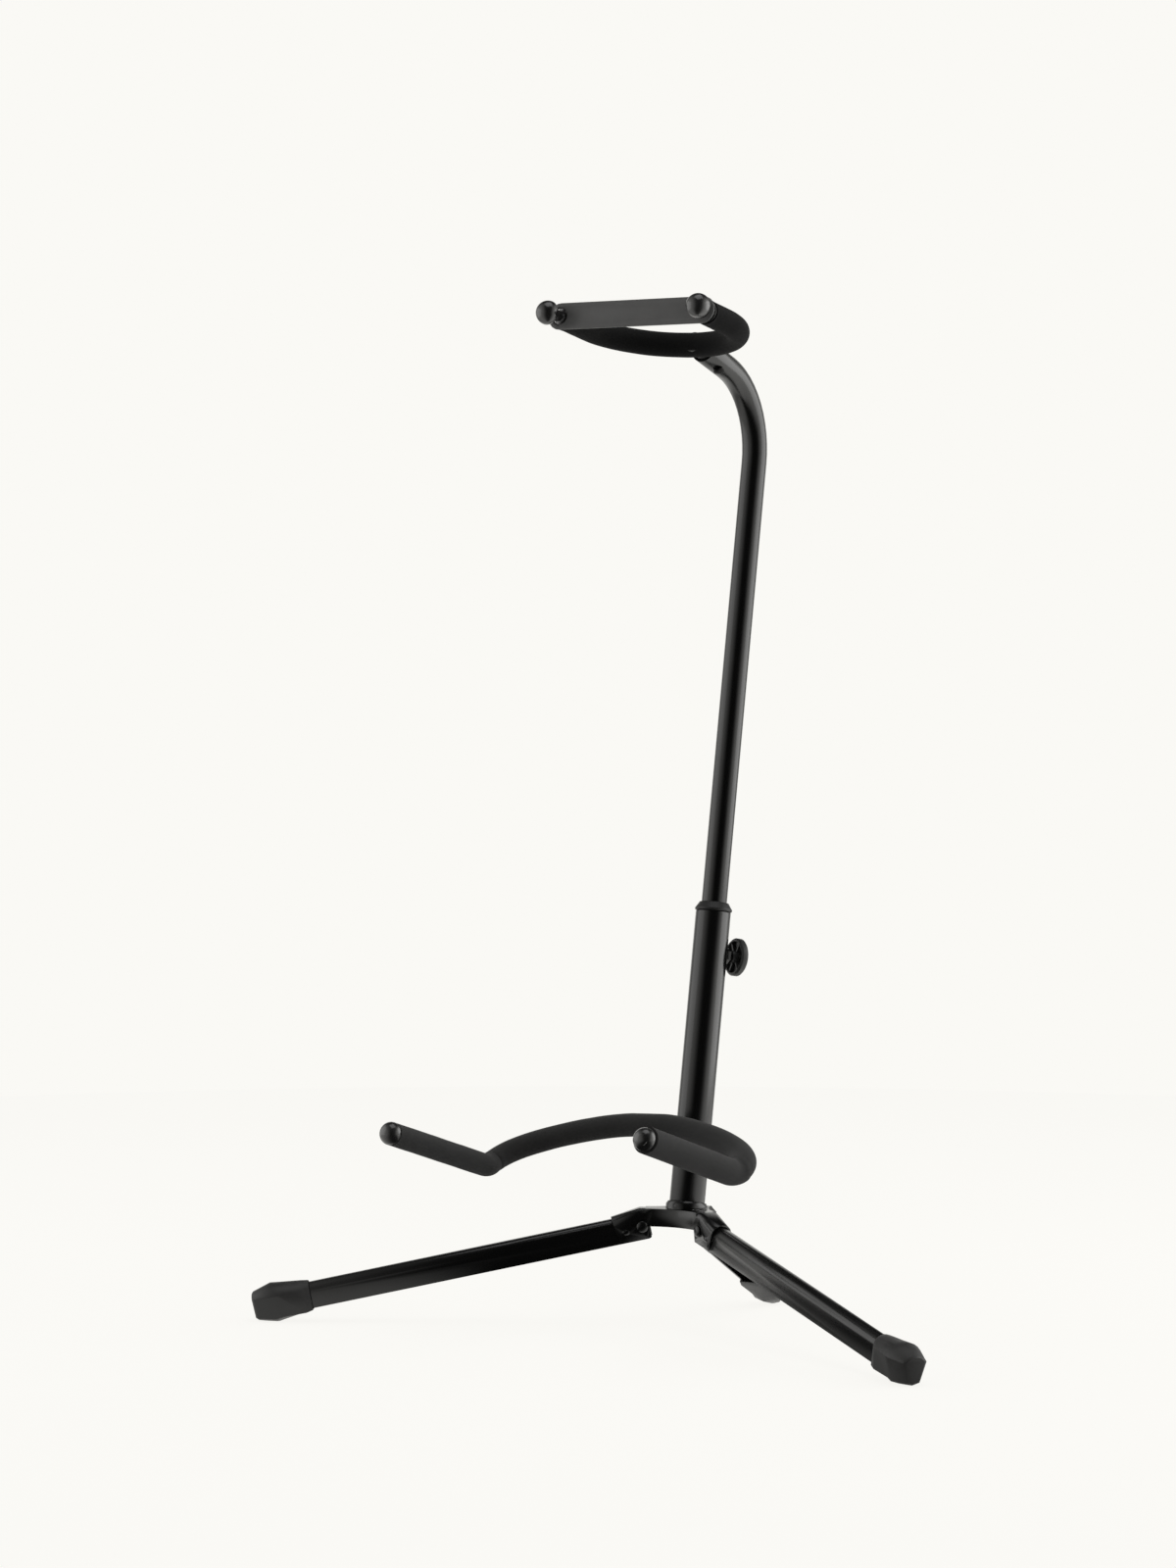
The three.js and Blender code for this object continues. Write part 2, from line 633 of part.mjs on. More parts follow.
function makeSeatRing() {
  const bore = flatsAt(MAST_RADIUS + FIT_GAP, TUBE_SIDES);
  const profile = [
    [bore, -SEAT_RING_HEIGHT],
    [SEAT_RING_DIAMETER / 2, -SEAT_RING_HEIGHT],
    [SEAT_RING_DIAMETER / 2, SEAT_RING_HEIGHT / 2],
    [bore + SEAT_RING_LIP, SEAT_RING_HEIGHT],
    [bore, SEAT_RING_HEIGHT],
    [bore, -SEAT_RING_HEIGHT],
  ];
  return piece('tube_seat_ring', turnedUpright(profile, TUBE_SIDES).subtract(belowHub()), blackPaint);
}

function makeBush() {
  const bore = flatsAt(HEIGHT_TUBE_RADIUS + FIT_GAP, TUBE_SIDES);
  const skirt = MAST_BORE - FIT_GAP;
  const seat = OUTER_TUBE_LENGTH + FIT_GAP;
  const rim = BUSH_FLANGE_DIAMETER / 2;
  const rounding = BUSH_FLANGE_HEIGHT / 2;
  const rimArc = arc(rim - rounding, seat + rounding, rounding, -90, 60, ROUND_STEPS);
  const profile = [
    [bore, OUTER_TUBE_LENGTH - BUSH_SKIRT],
    [skirt, OUTER_TUBE_LENGTH - BUSH_SKIRT],
    [skirt, seat],
    ...rimArc,
    [bore + BUSH_LIP, seat + BUSH_FLANGE_HEIGHT + BUSH_CONE_HEIGHT],
    [bore, seat + BUSH_FLANGE_HEIGHT + BUSH_CONE_HEIGHT],
    [bore, OUTER_TUBE_LENGTH - BUSH_SKIRT],
  ];
  return piece('tube_bush', turnedUpright(profile, TUBE_SIDES), blackPlastic);
}

function makeGuidePlug() {
  const top = HEIGHT_TUBE_START - FIT_GAP;
  const body = MAST_BORE - FIT_GAP;
  const spigot = HEIGHT_TUBE_BORE - FIT_GAP;
  const profile = [
    [0, top - GUIDE_PLUG_LENGTH],
    [body, top - GUIDE_PLUG_LENGTH],
    [body, top],
    [spigot, top],
    [spigot, top + GUIDE_SPIGOT_LENGTH],
    [0, top + GUIDE_SPIGOT_LENGTH],
  ];
  return piece('guide_plug', turnedUpright(profile, TUBE_SIDES), paleNylon);
}

// The height tube's centre line, in the mast's frame
const bend = THREE.MathUtils.degToRad(HEIGHT_TUBE_BEND);
const bendHeight = OUTER_TUBE_LENGTH + HEIGHT_TUBE_EXPOSED;
const neckDirection = new THREE.Vector3(0, -Math.sin(bend), Math.cos(bend));
const bendTangent = HEIGHT_TUBE_BEND_RADIUS * Math.tan(bend / 2);
const bendCorner = new THREE.Vector3(0, 0, bendHeight + bendTangent);
const neckEnd = bendCorner.clone().addScaledVector(neckDirection, bendTangent + NECK_STRAIGHT);
const neckTilt = bend - Math.PI / 2;
const yokeTilt = LEAN - THREE.MathUtils.degToRad(YOKE_TILT);

function neckScrewMatrix() {
  const turn = new THREE.Matrix4().makeRotationY(-THREE.MathUtils.degToRad(NECK_SCREW_TURN));
  const down = new THREE.Matrix4().makeRotationX(-Math.PI / 2);
  return new THREE.Matrix4().makeTranslation(0, NECK_SCREW_SETBACK, 0).multiply(turn).multiply(down);
}

function makeHeightTube() {
  const start = new THREE.Vector3(0, 0, HEIGHT_TUBE_START);
  const tubeEnd = neckEnd.clone().addScaledVector(neckDirection, -YOKE_FOAM_RADIUS - FIT_GAP);
  const around = bendStations(start, bendCorner, neckEnd, HEIGHT_TUBE_BEND_RADIUS, BEND_STEPS);
  const stations = [start, ...around, tubeEnd];
  const tube = sweep(stations, HEIGHT_TUBE_RADIUS, TUBE_SIDES, HEIGHT_TUBE_BORE, TUBE_SIDES);
  const hole = barY(NECK_SCREW_DIAMETER / 2 + FIT_GAP, 0, HEIGHT_TUBE_DIAMETER, SCREW_SIDES);
  const holeMatrix = frameMatrix(neckEnd, neckTilt).multiply(neckScrewMatrix());
  return piece('height_tube', tube.subtract(moved(hole, holeMatrix)), blackPaint);
}

// The yoke, in its own frame: x across, y back towards the mast, the rod's middle at the origin
function yokeStations(run) {
  const half = [];
  for (let i = 0; i <= YOKE_ARC_STEPS / 2; i += 1) {
    const angle = (Math.PI * i) / YOKE_ARC_STEPS;
    half.push(new THREE.Vector3(YOKE_RADIUS * Math.sin(angle), YOKE_RADIUS * (Math.cos(angle) - 1), 0));
  }
  const { corner, tip } = pegLine();
  const armStart = new THREE.Vector3(YOKE_RADIUS, -YOKE_RADIUS, 0);
  half.push(...bendStations(armStart, corner, tip, PEG_BEND_RADIUS, PEG_STEPS));
  half.push(pegPoint(run));
  return [...mirrored(half).slice(0, -1), ...half];
}

// The peg: the rod's end, splayed outwards; its run starts where the foam ends
function pegLine() {
  const splay = THREE.MathUtils.degToRad(PEG_SPLAY);
  const tangent = PEG_BEND_RADIUS * Math.tan(splay / 2);
  const corner = new THREE.Vector3(YOKE_RADIUS, -YOKE_RADIUS - YOKE_ARM_STRAIGHT - tangent, 0);
  const direction = new THREE.Vector3(Math.sin(splay), -Math.cos(splay), 0);
  const foamEnd = corner.clone().addScaledVector(direction, tangent + PEG_FOAM_RUN);
  return { corner, direction, foamEnd, tip: foamEnd.clone().addScaledVector(direction, CAP_SOCKET_DEPTH) };
}

function pegPoint(run) {
  const { foamEnd, direction } = pegLine();
  return foamEnd.clone().addScaledVector(direction, run);
}

function makeYokeRod() {
  const rod = sweep(yokeStations(CAP_SOCKET_DEPTH), YOKE_ROD_RADIUS, ROD_SIDES, 0, 0);
  return piece('yoke_rod', rod, darkSteel);
}

function makeYokeFoam() {
  const sleeve = sweep(yokeStations(0), YOKE_FOAM_RADIUS, SLEEVE_SIDES, YOKE_ROD_BORE, ROD_SIDES);
  const plugRadius = flatsAt(HEIGHT_TUBE_BORE, TUBE_SIDES);
  const plugHole = barY(plugRadius, -NECK_PLUG_NOSE - FIT_GAP, HEIGHT_TUBE_DIAMETER, TUBE_SIDES);
  const tilt = new THREE.Matrix4().makeRotationX(neckTilt - yokeTilt);
  return piece('yoke_foam', sleeve.subtract(moved(plugHole, tilt)), foam);
}

// The plug in the end of the height tube, through which the yoke's rod passes
function makeNeckPlug() {
  const plug = barY(HEIGHT_TUBE_BORE - FIT_GAP, -NECK_PLUG_NOSE, NECK_PLUG_LENGTH, TUBE_SIDES);
  const rodHole = sweep(yokeStations(0), flatsAt(YOKE_ROD_BORE, ROD_SIDES), ROD_SIDES, 0, 0);
  const tilt = new THREE.Matrix4().makeRotationX(yokeTilt - neckTilt);
  const screwHole = barY(NECK_SCREW_DIAMETER / 2 + FIT_GAP, HEIGHT_TUBE_BORE - NECK_SCREW_DEPTH - FIT_GAP,
    HEIGHT_TUBE_DIAMETER, SCREW_SIDES);
  const solid = plug.subtract(moved(rodHole, tilt)).subtract(moved(screwHole, neckScrewMatrix()));
  return piece('neck_plug', solid, blackPlastic);
}

function makeNeckScrew() {
  const head = HEIGHT_TUBE_RADIUS + FIT_GAP;
  const radius = NECK_SCREW_DIAMETER / 2;
  const headRadius = NECK_SCREW_HEAD_DIAMETER / 2;
  const profile = [
    [0, HEIGHT_TUBE_BORE - NECK_SCREW_DEPTH],
    [radius, HEIGHT_TUBE_BORE - NECK_SCREW_DEPTH],
    [radius, head],
    [headRadius, head],
    [headRadius, head + NECK_SCREW_HEAD_HEIGHT / 2],
    [radius, head + NECK_SCREW_HEAD_HEIGHT],
    [0, head + NECK_SCREW_HEAD_HEIGHT],
  ];
  return piece('neck_screw', moved(turned(profile, SCREW_SIDES), neckScrewMatrix()), darkSteel);
}

const yokeCap = {
  rodBore: YOKE_ROD_BORE,
  diameter: YOKE_CAP_DIAMETER,
  thickness: YOKE_CAP_THICKNESS,
  backRounding: YOKE_CAP_BACK_ROUNDING,
  neckDiameter: YOKE_CAP_NECK_DIAMETER,
  neckLength: YOKE_CAP_NECK_LENGTH,
  flangeThickness: CAP_FLANGE_THICKNESS,
};
const cradleCap = {
  rodBore: CRADLE_ROD_BORE,
  diameter: CRADLE_CAP_DIAMETER,
  thickness: CRADLE_CAP_THICKNESS,
  backRounding: CRADLE_CAP_BACK_ROUNDING,
  neckDiameter: CRADLE_CAP_NECK_DIAMETER,
  neckLength: 0,
  flangeThickness: 0,
};

// A ball cap about the Y axis: socket at the low end, dome at the high end, zero where the foam ends
function capSolid(cap) {
  const { rodBore, diameter, thickness, backRounding, neckDiameter, neckLength, flangeThickness } = cap;
  const base = FIT_GAP;
  const neckStart = base + flangeThickness;
  const ballStart = neckStart + neckLength;
  const domeStart = ballStart + backRounding;
  const radius = diameter / 2;
  const bore = flatsAt(rodBore, CAP_SIDES);
  const socketTop = CAP_SOCKET_DEPTH + FIT_GAP;
  const foot = flangeThickness > 0 ? CAP_FLANGE_DIAMETER / 2 : neckDiameter / 2;
  const back = arc(radius - backRounding, domeStart, backRounding, -90, 0, ROUND_STEPS);
  const dome = arc(0, 0, 1, 0, 90, DOME_STEPS).slice(1, -1)
    .map(([across, up]) => [across * radius, domeStart + up * (thickness - backRounding)]);
  const profile = [
    [0, socketTop],
    [bore, socketTop],
    [bore, base],
    [foot, base],
    [foot, neckStart],
    [neckDiameter / 2, neckStart],
    [neckDiameter / 2, ballStart],
    ...back,
    ...dome,
    [0, ballStart + thickness],
  ];
  const differs = (p, i) => p[0] !== profile[i - 1][0] || p[1] !== profile[i - 1][1];
  const distinct = profile.filter((p, i) => i === 0 || differs(p, i));
  return turned(distinct, CAP_SIDES);
}

// Turns the Y axis of a cap onto the rod's end
function capMatrix(place, direction) {
  const turn = new THREE.Quaternion().setFromUnitVectors(Y_AXIS, direction);
  return new THREE.Matrix4().makeRotationFromQuaternion(turn).setPosition(place);
}

function mirrorX(solid) {
  return solid.mirror([1, 0, 0]);
}

function makeYokeCaps() {
  const { foamEnd, direction } = pegLine();
  const right = moved(capSolid(yokeCap), capMatrix(foamEnd, direction));
  const left = mirrorX(right);
  return [piece('yoke_cap_right', right, blackPlastic), piece('yoke_cap_left', left, blackPlastic)];
}

// The strap hangs on the necks of both caps, close to their flanges
function makeStrap() {
  const strapPoint = pegPoint(STRAP_RUN);
  const holeX = strapPoint.x - STRAP_HOLE_SHIFT;
  const end = STRAP_HEIGHT / 2;
  const outline = [
    ...arc(holeX, 0, end, -90, 90, STRAP_END_STEPS),
    ...arc(-holeX, 0, end, 90, 270, STRAP_END_STEPS),
  ].map(([x, z]) => new THREE.Vector2(x, z));
  const shape = new THREE.Shape(outline);
  for (const side of [-1, 1]) {
    const rim = circlePoints(STRAP_HOLE_DIAMETER / 2, SCREW_SIDES);
    const hole = rim.map((p) => p.add(new THREE.Vector2(side * holeX, 0)));
    shape.holes.push(new THREE.Path(hole.reverse()));
  }
  const depth = STRAP_THICKNESS - 2 * STRAP_EDGE_ROUNDING;
  const bevel = {
    bevelEnabled: true, bevelSegments: 1, bevelThickness: STRAP_EDGE_ROUNDING,
    bevelSize: STRAP_EDGE_ROUNDING, bevelOffset: -STRAP_EDGE_ROUNDING,
  };
  const geometry = new THREE.ExtrudeGeometry(shape, { depth, ...bevel });
  geometry.translate(0, 0, -depth / 2);
  const upright = new THREE.Matrix4().makeRotationX(Math.PI / 2).setPosition(0, strapPoint.y, 0);
  return piece('neck_strap', moved(solidOf(geometry), upright), strapRubber);
}

// The cradle, in its own frame: level with the stand, the rod's middle at the origin
function cradleElbow() {
  return new THREE.Vector3(CRADLE_HALF_WIDTH, -CRADLE_DEPTH, -CRADLE_DROP);
}

function bowSlant() {
  return cradleElbow().add(new THREE.Vector3(BOW_SLANT_OUT, BOW_SLANT_BACK, BOW_SLANT_UP));
}

function armTip() {
  return cradleElbow().add(new THREE.Vector3(CRADLE_ARM_SPLAY, -CRADLE_ARM_REACH, CRADLE_ARM_RISE));
}

function armDirection() {
  return armTip().sub(cradleElbow()).normalize();
}

function cradleStations(run) {
  const start = new THREE.Vector3(CRADLE_STRAIGHT, 0, 0);
  const startSlant = new THREE.Vector3(CRADLE_STRAIGHT + BOW_START_RUN, 0, 0);
  const bow = new THREE.CubicBezierCurve3(start, startSlant, bowSlant(), cradleElbow());
  const tip = armTip();
  const corner = bendStations(bowSlant(), cradleElbow(), tip, CRADLE_BEND_RADIUS, CORNER_STEPS);
  const half = bow.getSpacedPoints(BOW_STEPS).filter((station) => station.y > corner[0].y);
  half.push(...corner, tip.clone().addScaledVector(armDirection(), run));
  return [...mirrored(half), ...half];
}

function makeCradleRod() {
  const rod = sweep(cradleStations(CAP_SOCKET_DEPTH), CRADLE_ROD_RADIUS, ROD_SIDES, 0, 0);
  return piece('cradle_rod', rod, darkSteel);
}

// A pie slice about the X axis, between two angles measured up from straight back
function backSlice(from, to, width) {
  const far = CRADLE_FOAM_DIAMETER;
  const outline = [[0, 0], ...arc(0, 0, far, from, to, CORNER_STEPS)];
  return plateAcross(outline, width);
}

function barX(radius, halfWidth, sides) {
  return moved(barY(radius, -halfWidth, halfWidth, sides), new THREE.Matrix4().makeRotationZ(-Math.PI / 2));
}

// The sleeve is slit behind the rod, where the lug and the stop collars lie
function makeCradleFoam() {
  const sleeve = sweep(cradleStations(0), CRADLE_FOAM_RADIUS, SLEEVE_SIDES, CRADLE_ROD_BORE, ROD_SIDES);
  const eye = CRADLE_ROD_BORE + LUG_EYE_WALL;
  const collarEnd = LUG_WIDTH / 2 + FIT_GAP + COLLAR_WIDTH + FIT_GAP;
  const pocket = barX(flatsAt(eye + FIT_GAP, RING_SIDES), collarEnd, RING_SIDES);
  const neckHalf = THREE.MathUtils.radToDeg(Math.asin((LUG_NECK_HEIGHT / 2 + FIT_GAP) / eye));
  const slitEnd = CRADLE_FOLD + neckHalf - MAST_LEAN;
  const lugSlit = backSlice(-MAST_LEAN - neckHalf, slitEnd, LUG_WIDTH + 2 * FIT_GAP);
  const toothHalf = THREE.MathUtils.radToDeg(Math.asin((COLLAR_TOOTH_THICKNESS / 2 + FIT_GAP) / eye));
  const toothAngle = -MAST_LEAN - COLLAR_TOOTH_DROP;
  const toothSlit = backSlice(toothAngle - toothHalf, toothAngle + toothHalf, 2 * collarEnd);
  return piece('cradle_foam', sleeve.subtract(pocket).subtract(lugSlit).subtract(toothSlit), foam);
}

function makeCradleCaps() {
  const right = moved(capSolid(cradleCap), capMatrix(armTip(), armDirection()));
  const left = mirrorX(right);
  return [piece('cradle_cap_right', right, blackPlastic), piece('cradle_cap_left', left, blackPlastic)];
}

const cradlePlace = new THREE.Vector3(0, -CRADLE_STANDOFF, CRADLE_HEIGHT).applyMatrix4(mastMatrix);
const cradleRoll = new THREE.Matrix4().makeRotationY(-THREE.MathUtils.degToRad(CRADLE_ROLL));

// The bracket that carries the cradle's rod, in the mast's frame: an eye on a neck, the plate the
// stop collars lie against, and a bar back to the tube
function makeCradleLug() {
  const eye = barX(CRADLE_ROD_BORE + LUG_EYE_WALL, LUG_WIDTH / 2, RING_SIDES);
  const hole = barX(flatsAt(CRADLE_ROD_BORE, RING_SIDES), LUG_WIDTH, RING_SIDES);
  const plateBack = STOP_PLATE_SETBACK + STOP_PLATE_THICKNESS;
  const neck = block(
    [-LUG_WIDTH / 2, 0, -LUG_NECK_HEIGHT / 2],
    [LUG_WIDTH / 2, STOP_PLATE_SETBACK + STOP_PLATE_THICKNESS / 2, LUG_NECK_HEIGHT / 2],
  );
  const plate = block(
    [-STOP_PLATE_WIDTH / 2, STOP_PLATE_SETBACK, -STOP_PLATE_BOTTOM],
    [STOP_PLATE_WIDTH / 2, plateBack, STOP_PLATE_TOP],
  );
  const bar = block(
    [-BRACKET_WIDTH / 2, STOP_PLATE_SETBACK + STOP_PLATE_THICKNESS / 2, -BRACKET_HEIGHT / 2],
    [BRACKET_WIDTH / 2, CRADLE_STANDOFF, BRACKET_HEIGHT / 2],
  );
  const hung = moved(eye.add(neck).subtract(hole), cradleRoll);
  const placed = shifted(hung.add(plate).add(bar), 0, -CRADLE_STANDOFF, CRADLE_HEIGHT);
  const tube = barZ(flatsAt(MAST_RADIUS + FIT_GAP, TUBE_SIDES), 0, OUTER_TUBE_LENGTH, TUBE_SIDES);
  return piece('cradle_lug', placed.subtract(tube), blackPaint);
}

// A stop collar on the rod each side of the lug; its tooth lies against the stop plate at rest
function makeStopCollars() {
  const bore = flatsAt(CRADLE_ROD_BORE, RING_SIDES);
  const inner = LUG_WIDTH / 2 + FIT_GAP;
  const ringBody = barX(CRADLE_ROD_BORE + COLLAR_WALL, COLLAR_WIDTH / 2, RING_SIDES);
  const reach = 2 * STOP_PLATE_SETBACK;
  const thick = COLLAR_TOOTH_THICKNESS / 2;
  const tooth = block([-COLLAR_WIDTH / 2, 0, -thick], [COLLAR_WIDTH / 2, reach, thick]);
  const drop = new THREE.Matrix4().makeRotationX(-THREE.MathUtils.degToRad(MAST_LEAN + COLLAR_TOOTH_DROP));
  const blank = ringBody.add(moved(tooth, drop)).subtract(barX(bore, COLLAR_WIDTH, RING_SIDES));
  const behind = block([-reach, STOP_PLATE_SETBACK - FIT_GAP, -reach], [reach, reach + reach, reach]);
  const lean = new THREE.Matrix4().makeRotationX(-LEAN);
  const stop = moved(behind, cradleRoll.clone().invert().multiply(lean));
  const right = shifted(blank, inner + COLLAR_WIDTH / 2, 0, 0).subtract(stop);
  const left = shifted(blank, -inner - COLLAR_WIDTH / 2, 0, 0).subtract(stop);
  return [piece('cradle_stop_right', right, darkSteel), piece('cradle_stop_left', left, darkSteel)];
}

// The clamp, turned out about the Y axis and set at its height on the mast
function clampMatrix() {
  const turn = new THREE.Matrix4().makeRotationZ(-THREE.MathUtils.degToRad(CLAMP_AZIMUTH));
  return turn.setPosition(0, 0, OUTER_TUBE_LENGTH - CLAMP_DROP);
}

function atClamp(solid) {
  return moved(solid, clampMatrix());
}

function makeClampNut() {
  const blank = barY(CLAMP_NUT_DIAMETER / 2, 0, CLAMP_NUT_TOP, HEX_SIDES);
  const hole = barY(flatsAt(CLAMP_SCREW_DIAMETER / 2 + FIT_GAP, SCREW_SIDES), -CUT_OVERRUN,
    CLAMP_NUT_TOP + CUT_OVERRUN, SCREW_SIDES);
  const tube = barZ(flatsAt(MAST_RADIUS + FIT_GAP, TUBE_SIDES), 0, OUTER_TUBE_LENGTH, TUBE_SIDES);
  return piece('clamp_nut', atClamp(blank.subtract(hole)).subtract(tube), blackPaint);
}

const padStart = HEIGHT_TUBE_RADIUS + FIT_GAP;
const screwStart = padStart + CLAMP_PAD_LENGTH + FIT_GAP;
const knobFloor = KNOB_FACE + KNOB_RIM - KNOB_FLOOR;

function makeClampPad() {
  const pad = barY(CLAMP_PAD_DIAMETER / 2, padStart, padStart + CLAMP_PAD_LENGTH, SCREW_SIDES);
  return piece('clamp_pad', atClamp(pad), paleNylon);
}

function makeClampScrew() {
  const screw = barY(CLAMP_SCREW_DIAMETER / 2, screwStart, knobFloor - FIT_GAP, SCREW_SIDES);
  return piece('clamp_screw', atClamp(screw), darkSteel);
}

function makeKnob() {
  const radius = KNOB_DIAMETER / 2;
  const inside = radius - KNOB_RIM_WALL;
  const boss = KNOB_BOSS_DIAMETER / 2;
  const bore = flatsAt(CLAMP_SCREW_DIAMETER / 2 + FIT_GAP, KNOB_SIDES);
  const back = KNOB_FACE + KNOB_RIM;
  const profile = [
    [0, knobFloor],
    [bore, knobFloor],
    [bore, KNOB_FACE - KNOB_BOSS_LENGTH],
    [boss, KNOB_FACE - KNOB_BOSS_LENGTH],
    [boss, knobFloor],
    [inside, knobFloor],
    [inside, KNOB_FACE],
    [radius - KNOB_EDGE, KNOB_FACE],
    [radius, KNOB_FACE + KNOB_EDGE],
    [radius, back - KNOB_EDGE],
    [radius - KNOB_EDGE, back],
    [boss, back + KNOB_CROWN],
    [0, back + KNOB_CROWN],
  ];
  let knob = turned(profile, KNOB_SIDES);
  const half = KNOB_RIB_THICKNESS / 2;
  const rib = block([bore, knobFloor - KNOB_RIB_DEPTH, -half], [inside + half, knobFloor + half, half]);
  for (let i = 0; i < KNOB_RIBS; i += 1) {
    knob = knob.add(moved(rib, new THREE.Matrix4().makeRotationY((2 * Math.PI * i) / KNOB_RIBS)));
  }
  return piece('clamp_knob', atClamp(knob), blackPlastic);
}

// A leg's section: an upturned U with a round top
function legSection(grow, wall) {
  const half = LEG_WIDTH / 2 + grow;
  const low = -LEG_HEIGHT / 2 - grow;
  const archHeight = LEG_HEIGHT / 2 - LEG_WIDTH / 2;
  const outer = [[half, low], ...arc(0, archHeight, half, 0, 180, 2 * HALF_TOP_STEPS), [-half, low]];
  if (wall === 0) {
    return outer;
  }
  const inside = half - wall;
  const inner = [[-inside, low], ...arc(0, archHeight, inside, 180, 0, 2 * HALF_TOP_STEPS), [inside, low]];
  return [...outer, ...inner];
}

function shapeOf(points) {
  return new THREE.Shape(points.map(([x, y]) => new THREE.Vector2(x, y)));
}

// In the leg's frame: pivot at the origin, x along the leg towards its foot
function makeLeg(name, reach) {
  const end = reach - FOOT_LENGTH + FOOT_SOCKET_DEPTH - FIT_GAP;
  const bar = channelBar(shapeOf(legSection(0, LEG_WALL)), -LEG_TAIL, end);
  const hole = barY(flatsAt(RIVET_DIAMETER / 2 + FIT_GAP, SCREW_SIDES), -LEG_WIDTH, LEG_WIDTH, SCREW_SIDES);
  const tailBox = block([-LEG_HEIGHT, -LEG_WIDTH, -LEG_HEIGHT], [0, LEG_WIDTH, LEG_HEIGHT]);
  const tailEnd = tailBox.subtract(barY(LEG_TAIL_RADIUS, -LEG_WIDTH, LEG_WIDTH, TUBE_SIDES));
  return piece(`${name}_leg`, bar.subtract(hole).subtract(tailEnd), blackPaint);
}

// One ring of the foot: at least as wide as the leg's section with its lip, else round
function footRing(place, radius, lip) {
  const outline = legSection(lip, 0);
  const [, ...sides] = outline;
  const low = outline[0];
  const points = [low, ...sides, [0, low[1]]];
  return points.map(([y, z]) => {
    const size = Math.max(radius / Math.hypot(y, z), 1);
    return new THREE.Vector3(place, y * size, z * size);
  });
}

// A closed body through rings with the same number of points
function loft(rings) {
  const count = rings[0].length;
  const positions = rings.flat().flatMap((p) => [p.x, p.y, p.z]);
  const index = [];
  for (let r = 0; r + 1 < rings.length; r += 1) {
    for (let i = 0; i < count; i += 1) {
      const a = r * count + i;
      const b = r * count + ((i + 1) % count);
      index.push(a, b, b + count, a, b + count, a + count);
    }
  }
  for (const [ringIndex, flip] of [[0, true], [rings.length - 1, false]]) {
    const centre = new THREE.Vector3();
    rings[ringIndex].forEach((p) => centre.addScaledVector(p, 1 / count));
    const hub = positions.length / 3;
    positions.push(centre.x, centre.y, centre.z);
    for (let i = 0; i < count; i += 1) {
      const a = ringIndex * count + i;
      const b = ringIndex * count + ((i + 1) % count);
      index.push(...(flip ? [hub, b, a] : [hub, a, b]));
    }
  }
  const geometry = new THREE.BufferGeometry();
  geometry.setAttribute('position', new THREE.Float32BufferAttribute(positions, 3));
  geometry.setIndex(index);
  return solidOf(geometry);
}

function makeFoot({ name, slope, reach, pivotHeight }) {
  const start = reach - FOOT_LENGTH;
  const shoulder = FOOT_SHOULDER_DIAMETER / 2;
  const flare = FOOT_FLARE_DIAMETER / 2;
  const end = FOOT_END_DIAMETER / 2;
  const lip = FIT_GAP + FOOT_LIP_WALL;
  const swell = shoulder + (flare - shoulder) * FOOT_SWELL_SHARE;
  const rings = [
    footRing(start, 0, lip),
    footRing(start + FOOT_LIP_LENGTH / 2, 0, lip + FOOT_LIP_WALL / 2),
    footRing(start + FOOT_LIP_LENGTH, shoulder, lip + FOOT_LIP_WALL),
    footRing(reach - FOOT_CHAMFER_LENGTH - FOOT_LIP_LENGTH, swell, lip),
    footRing(reach - FOOT_CHAMFER_LENGTH, flare, lip),
    footRing(reach - FOOT_END_ROUNDING, end, -LEG_WALL),
    footRing(reach, end - FOOT_END_ROUNDING, -LEG_WALL - FOOT_END_ROUNDING),
  ];
  const fit = shapeOf(legSection(FIT_GAP, 0));
  const socket = channelBar(fit, start - CUT_OVERRUN, start + FOOT_SOCKET_DEPTH);
  const tilt = THREE.MathUtils.degToRad(slope);
  const far = 2 * FOOT_LENGTH;
  const ground = block([start - far, -far, -pivotHeight - far], [reach + far, far, -pivotHeight]);
  const level = new THREE.Matrix4().makeRotationY(-tilt);
  return piece(`${name}_foot`, loft(rings).subtract(socket).subtract(moved(ground, level)), footRubber);
}

function makeRivet(name) {
  const radius = RIVET_DIAMETER / 2;
  const head = RIVET_HEAD_DIAMETER / 2;
  const face = EAR_WIDTH / 2 + FIT_GAP;
  const dome = arc(0, 0, 1, 0, 90, ROUND_STEPS).slice(0, -1)
    .map(([across, up]) => [across * head, face + up * RIVET_HEAD_HEIGHT]);
  const half = [[radius, face], ...dome, [0, face + RIVET_HEAD_HEIGHT]];
  const profile = [...half.map(([r, h]) => [r, -h]).reverse(), ...half];
  return piece(`${name}_rivet`, turned(profile, SCREW_SIDES), blackPaint);
}

// The legs, each in a group turned to its azimuth and sloped about its pivot
function makeLegGroup(leg) {
  const { name, azimuth, slope, reach, pivotHeight } = leg;
  const spoke = new THREE.Group();
  spoke.rotation.z = THREE.MathUtils.degToRad(azimuth);
  const sloped = new THREE.Group();
  sloped.position.set(PIVOT_RADIUS, 0, pivotHeight);
  sloped.rotation.y = THREE.MathUtils.degToRad(slope);
  sloped.add(makeLeg(name, reach), makeFoot(leg));
  const rivet = makeRivet(name);
  rivet.position.set(PIVOT_RADIUS, 0, pivotHeight);
  spoke.add(sloped, rivet);
  return spoke;
}

function makeYoke() {
  const yoke = new THREE.Group();
  yoke.position.copy(neckEnd);
  yoke.rotation.x = yokeTilt;
  yoke.add(makeYokeRod(), makeYokeFoam(), ...makeYokeCaps(), makeStrap());
  return yoke;
}

function makeNeck() {
  const neck = new THREE.Group();
  neck.position.copy(neckEnd);
  neck.rotation.x = neckTilt;
  neck.add(makeNeckPlug(), makeNeckScrew());
  return neck;
}

